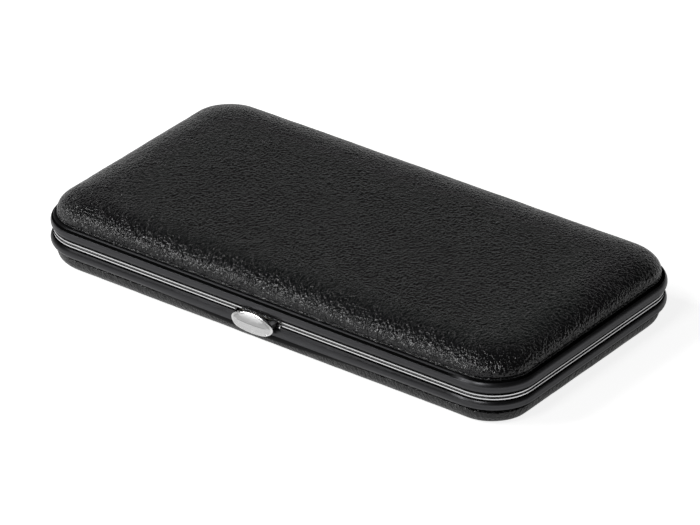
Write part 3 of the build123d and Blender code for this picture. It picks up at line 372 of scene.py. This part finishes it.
def rail_finish(settings, half):
    """Dark satin coat of a frame rail, with painted shade: a black groove at its far edge, lighter at
    a bead on the lid, a black seam at its near edge, and a dark slope where the rail faces up, lighter
    at the right end of the case. Also a soft middle line, and a bright cut edge at the right of the
    base's notch."""
    paint = Paint(f"{half}_rail_gunmetal")
    point = paint.place()
    rise = abs(paint.part(point, 2) - PARTING)
    mottle = paint.noise(paint.stretched(point, (0.2, 0.2, 1.0)), 0.9, 4.0, 0.6)
    grain = paint.noise(point, 6.0, 2.0, 0.7)
    far = RAIL_FAR[half]
    glint = paint.step(paint.part(point, 0), GLINT_FROM, GLINT_TO)
    if half == "lid":
        # A groove of painted shade, lighter at a bead beyond it at the far edge, and painted shade
        # on the slope that faces up beside them
        bead = paint.step(rise, far - 0.32, far - 0.24)
        usual = paint.step(rise, far - 0.9, far - 0.78) * (1.0 - bead * 0.6)
        at_end = paint.step(rise, far - 0.3, far - 0.2)
        top_shade = paint.step(rise, far - 1.6, far - 0.8, 0.0, 0.75)
        wide = settings.seam * 1.6
    else:
        # A finer groove of painted shade, and painted shade on the slope that faces up beside the seam
        usual = paint.step(rise, far - 0.47, far - 0.37, 0.0, 0.85)
        at_end = paint.step(rise, far - 0.8, far - 0.7)
        top_shade = paint.step(rise, RAIL_NEAR + 0.8, RAIL_NEAR + 1.9, 1.0, 0.0)
        wide = settings.seam * 0.75
    # Toward the right end of the case the painted shade changes: a narrower groove on the lid, a wider one
    # on the base, and a lighter slope
    groove = usual * (1.0 - glint) + at_end * glint
    top_shade = top_shade * (1.0 - glint * 0.85)
    # A black seam of painted shade at the near edge, between the rail and its lip
    seam = 1.0 - paint.step(rise, RAIL_NEAR + wide * 0.75, RAIL_NEAR + wide)
    middle = (RAIL_NEAR + far) / 2 + 0.1
    line = 1.0 - paint.step(abs(rise - middle), 0.0, 0.55)
    black = groove.math("MAXIMUM", seam)
    tone = paint.mix(mottle, shade(settings.rail, 0.85), shade(settings.rail, 1.2))
    lined = paint.mix(line * 0.35, tone, shade(settings.rail, 0.5))
    # The slope that faces up darkened as painted shade
    shaded = paint.mix(top_shade, lined, shade(settings.rail, 0.12))
    # Groove and seam painted black as painted shade
    colour = paint.mix(black, shaded, RAIL_SHADE_BLACK)
    if half == "base":
        cut = abs(paint.part(point, 0) - CAP_MIDDLE[0] - NOTCH_HALF)
        edge = (1.0 - paint.step(cut, 0.1, 0.25)) * (1.0 - paint.step(rise, 1.1, 1.5))
        edge = edge * (1.0 - paint.step(paint.part(point, 1), -1.0, 0.0))
        colour = paint.mix(edge * 0.35, colour, rgba(settings.lip))
    return paint.finish({
        "Base Color": colour,
        "Metallic": 1.0 - black,
        "Specular IOR Level": 0.0,
        "Roughness": settings.rail_roughness + (mottle - 0.5) * 0.12,
        "Normal": paint.bump(grain * 0.004 - black * 0.12 - line * 0.05),
    })


def lip_finish(settings):
    """Bright plating of the lips, with a thin dark line of painted shade outside, where the two lips meet.
    """
    paint = Paint("lip_plating")
    point = paint.place()
    rise = abs(paint.part(point, 2) - PARTING)
    past_x = (abs(paint.part(point, 0)) - (CASE_LENGTH / 2 - CORNER_RADIUS)).math("MAXIMUM", 0.0)
    past_y = (abs(paint.part(point, 1)) - (CASE_WIDTH / 2 - CORNER_RADIUS)).math("MAXIMUM", 0.0)
    inward = CORNER_RADIUS - (past_x * past_x + past_y * past_y) ** 0.5
    # Painted shade: a thin black line on the lips' outside at the parting; the faces that meet stay bright
    meeting = paint.step(inward, 0.2, 0.3)
    outer = paint.step(rise, LIP_FACE + 0.13, LIP_FACE + 0.19).math("MAXIMUM", meeting)
    marks = paint.noise(point, 0.35, 4.0, 0.6)
    bright = paint.mix(marks, shade(settings.lip, 0.95), shade(settings.lip, 1.0))
    return paint.finish({
        "Base Color": paint.mix(outer, LIP_GAP_SHADE, bright),
        "Metallic": outer - meeting * 0.45,
        "Specular IOR Level": 0.0,
        "Roughness": 0.16 + marks * 0.04,
        "Normal": paint.bump(marks * 0.002),
    })


def cap_finish(settings):
    """Polished cap of the button: a bright rim, painted lighter low down as a highlight and darker
    high up as shade, a dark band of painted shade inside its top half, a satin field painted
    darker over its top half as shade, and a darker lengthwise ridge line."""
    paint = Paint("cap_polished")
    point = paint.place()
    along = (paint.part(point, 0) - CAP_MIDDLE[0]) / CAP_HALF[0]
    up = (paint.part(point, 2) - CAP_MIDDLE[1]) / CAP_HALF[1]
    out = (along * along + up * up) ** 0.5
    rim = paint.step(out, 0.88, 0.94)
    # A dark band of painted shade inside the top half
    valley_shade = (1.0 - paint.step(abs(out - 0.85), 0.0, 0.06)) * paint.step(up, 0.0, 0.3)
    ridge = (1.0 - paint.step(abs(up - 0.06), 0.0, 0.09)) * (1.0 - paint.step(abs(along), 0.6, 0.8))
    marks = paint.noise(paint.stretched(point, (0.3, 1.0, 2.0)), 1.2, 4.0, 0.65)
    # The top half painted darker as shade
    top_shade = paint.step(up, 0.02, 0.2) * (1.0 - rim)
    field = paint.mix(marks, shade(settings.button, 0.85), shade(settings.button, 1.05))
    field = paint.mix(top_shade * 0.4, field, shade(settings.button, 0.25))
    lined = paint.mix(ridge.math("MAXIMUM", valley_shade * 0.6), field, shade(settings.button, 0.45))
    # The rim painted lighter low down as a highlight and darker high up as shade
    rim_highlight_and_shade = paint.mix(paint.step(up, 0.1, 0.5), shade(settings.button, 1.15), shade(settings.button, 0.8))
    return paint.finish({
        "Base Color": paint.mix(rim, lined, rim_highlight_and_shade),
        "Metallic": 1.0,
        "Roughness": 0.27 + top_shade * 0.1 - rim * 0.1 + (marks - 0.5) * 0.08,
        "Normal": paint.bump(rim * 0.12 - ridge * 0.03),
    })


def file_finish():
    """Steel blade with a cross cut, painted dark in the cuts as shade."""
    paint = Paint("file_cross_cut")
    point = paint.place()
    x = paint.part(point, 0)
    y = paint.part(point, 1)
    first = abs(((x + y) * (math.pi / 0.55)).math("SINE"))
    second = abs(((x - y * 1.4) * (math.pi / 0.7)).math("SINE"))
    cut = first * 0.5 + second * 0.5
    # The cuts painted dark as painted shade
    return paint.finish({
        "Base Color": paint.mix(cut, (0.2, 0.2, 0.21, 1.0), (0.62, 0.62, 0.63, 1.0)),
        "Metallic": STEEL_SHARE,
        "Roughness": 0.4 - cut * 0.1,
        "Normal": paint.bump(cut * 0.12),
    })


def grit_finish(name, dark, light, size):
    """Bonded abrasive: grains of two tones."""
    paint = Paint(name)
    point = paint.place()
    grains = paint.cells(point, 1.0 / size)
    dust = paint.noise(point, 0.3, 3.0)
    tone = paint.step(grains, 0.1, 0.6)
    return paint.finish({
        "Base Color": paint.mix(tone * 0.8 + dust * 0.2, rgba(light), rgba(dark)),
        "Roughness": 0.75,
        "Normal": paint.bump((1.0 - grains) * size * 0.5),
    })


def plastic_finish(name, colour, roughness, grain, depth):
    """Moulded plastic with a fine texture."""
    paint = Paint(name)
    point = paint.place()
    texture = paint.noise(point, grain, 2.0, 0.6)
    wear = paint.noise(point, 0.12, 3.0)
    return paint.finish({
        "Base Color": paint.mix(wear, shade(colour, 0.85), shade(colour, 1.25)),
        "Roughness": roughness + (wear - 0.5) * 0.1,
        "Normal": paint.bump(texture * depth),
    })


# Meshes


def outline(inset, radius, height, steps):
    """Points round the case outline moved in by an inset, the same number for every inset."""
    long_steps, short_steps, corner_steps = steps
    half_x = CASE_LENGTH / 2 - inset
    half_y = CASE_WIDTH / 2 - inset
    radius = max(0.0, min(radius, half_y))
    points = []
    for quarter in range(4):
        sign_x, sign_y = ((1, 1), (-1, 1), (-1, -1), (1, -1))[quarter]
        centre = ((half_x - radius) * sign_x, (half_y - radius) * sign_y)
        for step in range(corner_steps + 1):
            angle = math.radians(90 * (quarter + step / corner_steps))
            points.append((centre[0] + radius * math.cos(angle), centre[1] + radius * math.sin(angle)))
        last = points[-1]
        if quarter % 2 == 0:
            end = (-(half_x - radius) * sign_x, half_y * sign_y)
            side_steps = long_steps
        else:
            end = (half_x * sign_x, -(half_y - radius) * sign_y)
            side_steps = short_steps
        for step in range(1, side_steps):
            share = step / side_steps
            points.append((last[0] + (end[0] - last[0]) * share, last[1] + (end[1] - last[1]) * share))
    return [Vector((x, y, height)) for x, y in points]


def dome_rings(half, inset, drop, crease, steps, rises):
    """Rings from the edge of a layer, up its skirt, over its full shoulder and in to its middle."""
    up, shoulder, crown, flat_inset, flat_radius, fullness = HALVES[half]
    top = crown - drop
    corner = CORNER_RADIUS - inset
    rings = []
    for share in SKIRT_RINGS:
        rings.append((inset, corner, LAYER_EDGE + (shoulder - SKIRT_DROP - LAYER_EDGE) * share))
    turns = [math.asin((height / (top - shoulder)) ** (fullness / 2)) for height in FOOT_RINGS]
    foot = turns[-1]
    turns += [foot + (math.pi / 2 - foot) * step / rises for step in range(1, rises + 1)]
    for turn in turns:
        share = 1 - max(0.0, math.cos(turn)) ** (2 / fullness)
        height = (top - shoulder) * math.sin(turn) ** (2 / fullness)
        dip = crease * math.exp(-((height - CREASE_HEIGHT) / CREASE_WIDTH) ** 2)
        run = inset + (flat_inset - inset) * share + dip
        rings.append((run, corner + (flat_radius - corner) * share, shoulder + height))
    middle = CASE_WIDTH / 2
    for step in range(1, FLAT_RINGS + 1):
        run = flat_inset + (middle - flat_inset) * step / FLAT_RINGS
        rings.append((run, flat_radius * (1 - step / FLAT_RINGS), top))
    return [outline(run, radius, PARTING + up * rise, steps) for run, radius, rise in rings]


def skin(rings, flip):
    """A mesh of quads over rings of equal length."""
    count = len(rings[0])
    points = [point * MM for ring in rings for point in ring]
    faces = []
    for row in range(len(rings) - 1):
        for column in range(count):
            a = row * count + column
            b = row * count + (column + 1) % count
            face = (a, b, b + count, a + count)
            faces.append(face[::-1] if flip else face)
    return points, faces


def new_piece(name, points, faces):
    """An object of a welded mesh with smooth faces."""
    mesh = bpy.data.meshes.new(name)
    mesh.from_pydata(points, [], faces)
    shape = bmesh.new()
    shape.from_mesh(mesh)
    bmesh.ops.remove_doubles(shape, verts=shape.verts, dist=WELD * MM)
    bmesh.ops.recalc_face_normals(shape, faces=shape.faces)
    shape.to_mesh(mesh)
    shape.free()
    piece = bpy.data.objects.new(name, mesh)
    bpy.context.scene.collection.objects.link(piece)
    mesh.shade_smooth()
    return piece


def layer_piece(name, half, inset, drop, wall, crown_wall, crease, steps, rises):
    """A closed layer of a half: its outer skin, its inner skin and the edge between them."""
    outer = dome_rings(half, inset, drop, crease, steps, rises)
    inner = dome_rings(half, inset + wall, drop + crown_wall, 0.0, steps, max(6, rises // 2))
    points, faces = skin(list(reversed(outer)), HALVES[half][0] > 0)
    start = len(points)
    more, inner_faces = skin(inner, HALVES[half][0] > 0)
    faces += [tuple(index + start for index in face) for face in inner_faces]
    count = len(outer[0])
    edge = start - count
    for column in range(count):
        following = (column + 1) % count
        faces.append((edge + column, edge + following, start + following, start + column))
    return new_piece(name, points + more, faces)


def ruffle(piece, depth, size):
    """Soft uneven swells along the normals, as a stretched sheet over padding has, kept above the floor."""
    shape = bmesh.new()
    shape.from_mesh(piece.data)
    shape.normal_update()
    moves = []
    for vertex in shape.verts:
        point = vertex.co / MM
        slow = noise.fractal(point / size, 1.0, 2.0, 3)
        fast = noise.fractal(point / (size * 0.32) + Vector((7.0, 3.0, 1.0)), 0.9, 2.1, 3)
        moves.append(vertex.normal * (slow * depth + fast * depth * 0.35) * MM)
    for vertex, move in zip(shape.verts, moves):
        vertex.co += move
        vertex.co.z = max(vertex.co.z, 0.0)
    shape.to_mesh(piece.data)
    shape.free()


def softened(name, node, cut, depth, size):
    """A softer copy of a formed cloth node, cut finer and with small uneven swells."""
    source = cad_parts[node]
    piece = bpy.data.objects.new(name, source.data.copy())
    piece.data.materials.clear()
    bpy.context.scene.collection.objects.link(piece)
    shape = bmesh.new()
    shape.from_mesh(piece.data)
    bmesh.ops.remove_doubles(shape, verts=shape.verts, dist=WELD * MM)
    for _ in range(4):
        long_edges = [edge for edge in shape.edges if edge.calc_length() > cut * MM]
        if not long_edges:
            break
        bmesh.ops.subdivide_edges(shape, edges=long_edges, cuts=1, use_grid_fill=False)
        bmesh.ops.triangulate(shape, faces=[face for face in shape.faces if len(face.verts) > 4])
    shape.normal_update()
    for vertex in shape.verts:
        swell = noise.fractal(vertex.co / MM / size, 1.0, 2.0, 3)
        vertex.co += vertex.normal * swell * depth * MM
    shape.to_mesh(piece.data)
    shape.free()
    smooth_edges(piece)
    return piece


def smooth_edges(piece):
    """Smooth shading, with sharp edges where two faces meet at more than the sharp angle."""
    mesh = piece.data
    mesh.shade_smooth()
    shape = bmesh.new()
    shape.from_mesh(mesh)
    limit = math.radians(SHARP_ANGLE)
    for edge in shape.edges:
        edge.smooth = len(edge.link_faces) != 2 or edge.calc_face_angle(0.0) < limit
    shape.to_mesh(mesh)
    shape.free()


def wear(piece, material):
    """Gives a piece one material."""
    piece.data.materials.clear()
    piece.data.materials.append(material)


def coat(node, material, bevel=0.0):
    """Gives a node of the frame its finish, and eases its edges."""
    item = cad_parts[node]
    if not item.material_slots:
        item.data.materials.append(material)
    for material_slot in item.material_slots:
        material_slot.material = material
    if bevel:
        ease = item.modifiers.new("eased_edges", "BEVEL")
        ease.width = bevel * MM
        ease.segments = 2
        ease.limit_method = "ANGLE"
        ease.angle_limit = math.radians(BEVEL_ANGLE)
        ease.harden_normals = True


# Settings


class CoverSettings(bpy.types.PropertyGroup):
    """Leather covers and what lies under them."""

    colour: FloatVectorProperty(
        name="Leather colour", description="Colour of both covers", subtype="COLOR", size=3,
        default=(0.005, 0.005, 0.0055), min=0.0, max=1.0,
    )
    grain: FloatProperty(
        name="Grain size", description="Width of one plate of the grain, in millimetres",
        default=0.8, min=0.2, max=3.0,
    )
    swell: FloatProperty(
        name="Swell", description="Depth of the soft swells over the padding, in millimetres",
        default=0.07, min=0.0, max=0.4,
    )
    crease: FloatProperty(
        name="Crease", description="Depth of the crease above the tucked edge, in millimetres",
        default=0.4, min=0.0, max=0.7,
    )


class MetalSettings(bpy.types.PropertyGroup):
    """Frame, clasp and tools."""

    rail: FloatVectorProperty(
        name="Rail colour", description="Colour of the frame rails", subtype="COLOR", size=3,
        default=(0.082, 0.082, 0.086), min=0.0, max=1.0,
    )
    seam: FloatProperty(
        name="Seam", description="Width of the black seam between a rail and its lip, in millimetres",
        default=0.65, min=0.25, max=1.0,
    )
    rail_roughness: FloatProperty(
        name="Rail roughness", description="How dull the frame rails are", subtype="FACTOR",
        default=0.33, min=0.05, max=1.0,
    )
    lip: FloatVectorProperty(
        name="Lip colour", description="Colour of the bright lips", subtype="COLOR", size=3,
        default=(0.98, 0.98, 0.99), min=0.0, max=1.0,
    )
    button: FloatVectorProperty(
        name="Button colour", description="Colour of the push button", subtype="COLOR", size=3,
        default=(0.78, 0.78, 0.78), min=0.0, max=1.0,
    )


class InsideSettings(bpy.types.PropertyGroup):
    """Linings and bands."""

    lining: FloatVectorProperty(
        name="Lining colour", description="Colour of the linings", subtype="COLOR", size=3,
        default=(0.085, 0.078, 0.072), min=0.0, max=1.0,
    )


class StageSettings(bpy.types.PropertyGroup):
    """Camera, lamps and world."""

    lens: FloatProperty(
        name="Lens", description="Focal length of the camera, in millimetres", subtype="DISTANCE_CAMERA",
        default=336.63, min=50.0, max=600.0,
    )
    key: FloatProperty(
        name="Key light", description="Power of the soft light at the front left", unit="POWER",
        default=9.2, min=0.0, max=500.0,
    )
    front: FloatProperty(
        name="Front light", description="Power of the small light at the front", unit="POWER",
        default=2.0, min=0.0, max=500.0,
    )
    ambient: FloatProperty(
        name="Ambient light", description="Strength of the light from all round",
        default=0.04, min=0.0, max=2.0,
    )
    band: FloatProperty(
        name="Low light", description="Strength of the soft glow low on the walls",
        default=0.34, min=0.0, max=2.0,
    )


# Operators


class PEDICURE_OT_covers(bpy.types.Operator):
    """Makes the two leather covers over the padding"""

    bl_idname = "pedicure.covers"
    bl_label = "Leather covers"

    def execute(self, context):
        settings = context.scene.pedicure_cover
        leather = leather_finish(settings)
        for half in ("lid", "base"):
            piece = layer_piece(f"{half}_leather", half, crease=settings.crease, **COVER)
            ruffle(piece, settings.swell, SWELL_SIZE)
            wear(piece, leather)
            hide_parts(f"{half}_cover")
            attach(piece, half)
        return {"FINISHED"}


class PEDICURE_OT_paddings(bpy.types.Operator):
    """Makes the foam between each cover and its shell"""

    bl_idname = "pedicure.paddings"
    bl_label = "Paddings"

    def execute(self, context):
        foam = foam_finish()
        for half in ("lid", "base"):
            piece = layer_piece(f"{half}_foam", half, crease=0.0, **PADDING)
            wear(piece, foam)
            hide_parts(f"{half}_padding")
            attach(piece, half)
        return {"FINISHED"}


class PEDICURE_OT_linings(bpy.types.Operator):
    """Makes the suede linings of both trays"""

    bl_idname = "pedicure.linings"
    bl_label = "Linings"

    def execute(self, context):
        suede = suede_finish(context.scene.pedicure_inside)
        for half in ("lid", "base"):
            piece = softened(f"{half}_suede", f"{half}_lining", cut=4.0, depth=0.04, size=6.0)
            wear(piece, suede)
            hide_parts(f"{half}_lining")
            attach(piece, half)
        return {"FINISHED"}


class PEDICURE_OT_bands(bpy.types.Operator):
    """Makes the elastic bands that hold the tools"""

    bl_idname = "pedicure.bands"
    bl_label = "Elastic bands"

    def execute(self, context):
        elastic = elastic_finish()
        for half in ("lid", "base"):
            piece = softened(f"{half}_bands", f"{half}_loops", cut=2.0, depth=0.03, size=3.0)
            wear(piece, elastic)
            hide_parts(f"{half}_loops")
            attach(piece, half)
        return {"FINISHED"}


class PEDICURE_OT_frame(bpy.types.Operator):
    """Finishes the shells, rails, lips and hinge pins"""

    bl_idname = "pedicure.frame"
    bl_label = "Frame"

    def execute(self, context):
        settings = context.scene.pedicure_metal
        lip = lip_finish(settings)
        shell = metal_finish("shell_steel", (0.42, 0.42, 0.43), 0.42, (0.3, 0.3, 0.3), 0.003, 0.1)
        for half in ("lid", "base"):
            coat(f"{half}_rail", rail_finish(settings, half))
            coat(f"{half}_lip", lip)
            coat(f"{half}_shell", shell)
        coat("hinge_pins", metal_finish("pin_steel", PIN_STEEL, 0.25, (0.4, 0.4, 2.0)))
        return {"FINISHED"}


class PEDICURE_OT_clasp(bpy.types.Operator):
    """Finishes the push button, its slide, the catch and the strike plate"""

    bl_idname = "pedicure.clasp"
    bl_label = "Clasp"

    def execute(self, context):
        settings = context.scene.pedicure_metal
        coat("push_button", cap_finish(settings), bevel=0.1)
        spring = metal_finish("spring_steel", SPRING_STEEL, 0.32, (2.0, 2.0, 0.1), 0.003)
        rivet = metal_finish("rivet_steel", PIN_STEEL, 0.25, (1.0, 1.0, 1.0), 0.002)
        for node in ("button_slide", "catch_spring", "strike_plate"):
            coat(node, spring, bevel=0.06)
        for node in ("catch_rivets", "strike_rivets"):
            coat(node, rivet)
        return {"FINISHED"}


class PEDICURE_OT_nippers(bpy.types.Operator):
    """Finishes the toenail nipper and the cuticle nipper"""

    bl_idname = "pedicure.nippers"
    bl_label = "Nippers"

    def execute(self, context):
        steel = metal_finish("tool_steel", TOOL_STEEL, 0.24, (0.06, 2.0, 2.0))
        spring = metal_finish("leaf_steel", SPRING_STEEL, 0.3, (0.1, 2.0, 2.0), 0.003)
        pin = metal_finish("pivot_steel", PIN_STEEL, 0.2, (1.0, 1.0, 1.0), 0.002)
        for tool in ("nipper", "cuticle"):
            for side in ("left", "right"):
                coat(f"{tool}_{side}_lever", steel, bevel=0.12)
                coat(f"{tool}_{side}_leaf", spring, bevel=0.05)
            coat(f"{tool}_pivot", pin, bevel=0.08)
        return {"FINISHED"}


class PEDICURE_OT_hand_tools(bpy.types.Operator):
    """Finishes the tweezers, pusher, file and rasp"""

    bl_idname = "pedicure.hand_tools"
    bl_label = "Hand tools"

    def execute(self, context):
        steel = metal_finish("hand_steel", TOOL_STEEL, 0.26, (0.06, 2.0, 2.0))
        for node in ("tweezer_fixed_arm", "tweezer_moving_arm", "tweezer_tail", "cuticle_pusher"):
            coat(node, steel, bevel=0.1)
        coat("file_blade", file_finish(), bevel=0.06)
        gloss = plastic_finish("handle_plastic", (0.015, 0.015, 0.016), 0.22, grain=1.5, depth=0.01)
        matt = plastic_finish("rasp_plastic", (0.03, 0.03, 0.032), 0.5, grain=3.0, depth=0.03)
        coat("file_handle", gloss, bevel=0.2)
        coat("rasp_body", matt, bevel=0.2)
        coat("rasp_coarse_pad", grit_finish("grit_coarse", (0.05, 0.045, 0.04), (0.3, 0.27, 0.25), 0.5))
        coat("rasp_fine_pad", grit_finish("grit_fine", (0.2, 0.17, 0.16), (0.5, 0.46, 0.42), 0.25))
        return {"FINISHED"}


def lamp(name, place, along, size, power):
    """A long soft light that faces the part, with its long side along a direction, in metres."""
    data = bpy.data.lights.new(name, "AREA")
    data.shape = "RECTANGLE"
    data.size, data.size_y = size
    data.energy = power
    item = bpy.data.objects.new(name, data)
    bpy.context.scene.collection.objects.link(item)
    back = (Vector(place) - Vector(AIM)).normalized()
    across = Vector(along).cross(back).normalized()
    turn = Matrix((across, back.cross(across), back)).transposed().to_4x4()
    item.matrix_world = Matrix.Translation(place) @ turn


class PEDICURE_OT_stage(bpy.types.Operator):
    """Sets the floor, the world, the lamps and the camera"""

    bl_idname = "pedicure.stage"
    bl_label = "Stage"

    def execute(self, context):
        settings = context.scene.pedicure_stage
        scene = context.scene
        scene.view_settings.view_transform = "Standard"

        corners = ((-1, -1), (1, -1), (1, 1), (-1, 1))
        points = [Vector((FLOOR_REACH * x, FLOOR_REACH * y, FLOOR_HEIGHT)) for x, y in corners]
        mesh = bpy.data.meshes.new("white_floor")
        mesh.from_pydata(points, [], [(0, 1, 2, 3)])
        floor = bpy.data.objects.new("white_floor", mesh)
        scene.collection.objects.link(floor)
        paint = Paint("white_floor")
        seen = paint.node("ShaderNodeLightPath", out="Is Camera Ray")
        mirrored = paint.node("ShaderNodeLightPath", out="Is Glossy Ray")
        through = paint.node("ShaderNodeLightPath", out="Is Transmission Ray")
        shown = (seen * FLOOR_SEEN).math("MAXIMUM", mirrored.math("MAXIMUM", through) * FLOOR_MIRRORED)
        paper = paint.node("ShaderNodeBsdfDiffuse", {}, {"Color": PAPER})
        glow = paint.node("ShaderNodeEmission", {}, {"Color": WHITE, "Strength": shown})
        both = paint.node("ShaderNodeAddShader", {}, {0: paper, 1: glow})
        paint.node("ShaderNodeOutputMaterial", {}, {"Surface": both})
        wear(floor, paint.block)

        sky = Paint("studio", bpy.data.worlds)
        ray = sky.node("ShaderNodeTexCoord", out="Generated")
        band = sky.step(sky.part(ray, 2), 0.21, 0.35, settings.band, 0.0)
        studio = settings.ambient + band * sky.step(sky.part(ray, 0), -0.2, 0.3, 1.0, 0.1)
        seen = sky.node("ShaderNodeLightPath", out="Is Camera Ray")
        strength = seen.math("MAXIMUM", studio)
        glow = sky.node("ShaderNodeBackground", {}, {"Color": WHITE, "Strength": strength})
        sky.node("ShaderNodeOutputWorld", {}, {"Surface": glow})
        scene.world = sky.block

        lamp("left_strip", *LEFT_STRIP, settings.key)
        lamp("front_box", *FRONT_BOX, settings.front)

        data = bpy.data.cameras.new("photo_camera")
        data.sensor_width = 36.0
        data.lens = settings.lens
        data.shift_x, data.shift_y = (shift / PICTURE_WIDTH for shift in PICTURE_SHIFT)
        data.clip_start = 0.05
        data.clip_end = 30.0
        camera = bpy.data.objects.new("photo_camera", data)
        scene.collection.objects.link(camera)
        turn = Matrix((CAMERA_RIGHT, CAMERA_UP, CAMERA_BACK)).transposed().to_4x4()
        camera.matrix_world = Matrix.Translation(CAMERA_PLACE) @ turn
        scene.camera = camera
        return {"FINISHED"}


class PEDICURE_PT_panel(bpy.types.Panel):
    """Lists the steps that dress the set"""

    bl_idname = "PEDICURE_PT_panel"
    bl_label = "Pedicure set"
    bl_space_type = "VIEW_3D"
    bl_region_type = "UI"
    bl_category = "Pedicure set"

    def draw(self, context):
        for group in ("pedicure_cover", "pedicure_metal", "pedicure_inside", "pedicure_stage"):
            settings = getattr(context.scene, group)
            for name in settings.__annotations__:
                self.layout.prop(settings, name)
        for step in OPERATORS:
            self.layout.operator(step.bl_idname)


GROUPS = {
    "pedicure_cover": CoverSettings,
    "pedicure_metal": MetalSettings,
    "pedicure_inside": InsideSettings,
    "pedicure_stage": StageSettings,
}
OPERATORS = (
    PEDICURE_OT_stage,
    PEDICURE_OT_covers,
    PEDICURE_OT_paddings,
    PEDICURE_OT_linings,
    PEDICURE_OT_bands,
    PEDICURE_OT_frame,
    PEDICURE_OT_clasp,
    PEDICURE_OT_nippers,
    PEDICURE_OT_hand_tools,
)


def register():
    """Registers the settings, the operators and the panel."""
    for name, group in GROUPS.items():
        bpy.utils.register_class(group)
        setattr(bpy.types.Scene, name, PointerProperty(type=group))
    for step in OPERATORS:
        bpy.utils.register_class(step)
    bpy.utils.register_class(PEDICURE_PT_panel)


def unregister():
    """Takes back what register added."""
    bpy.utils.unregister_class(PEDICURE_PT_panel)
    for step in reversed(OPERATORS):
        bpy.utils.unregister_class(step)
    for name, group in GROUPS.items():
        delattr(bpy.types.Scene, name)
        bpy.utils.unregister_class(group)


def main():
    """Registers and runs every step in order."""
    register()
    for step in OPERATORS:
        area, name = step.bl_idname.split(".")
        getattr(getattr(bpy.ops, area), name)()


if __name__ == "__main__":
    main()
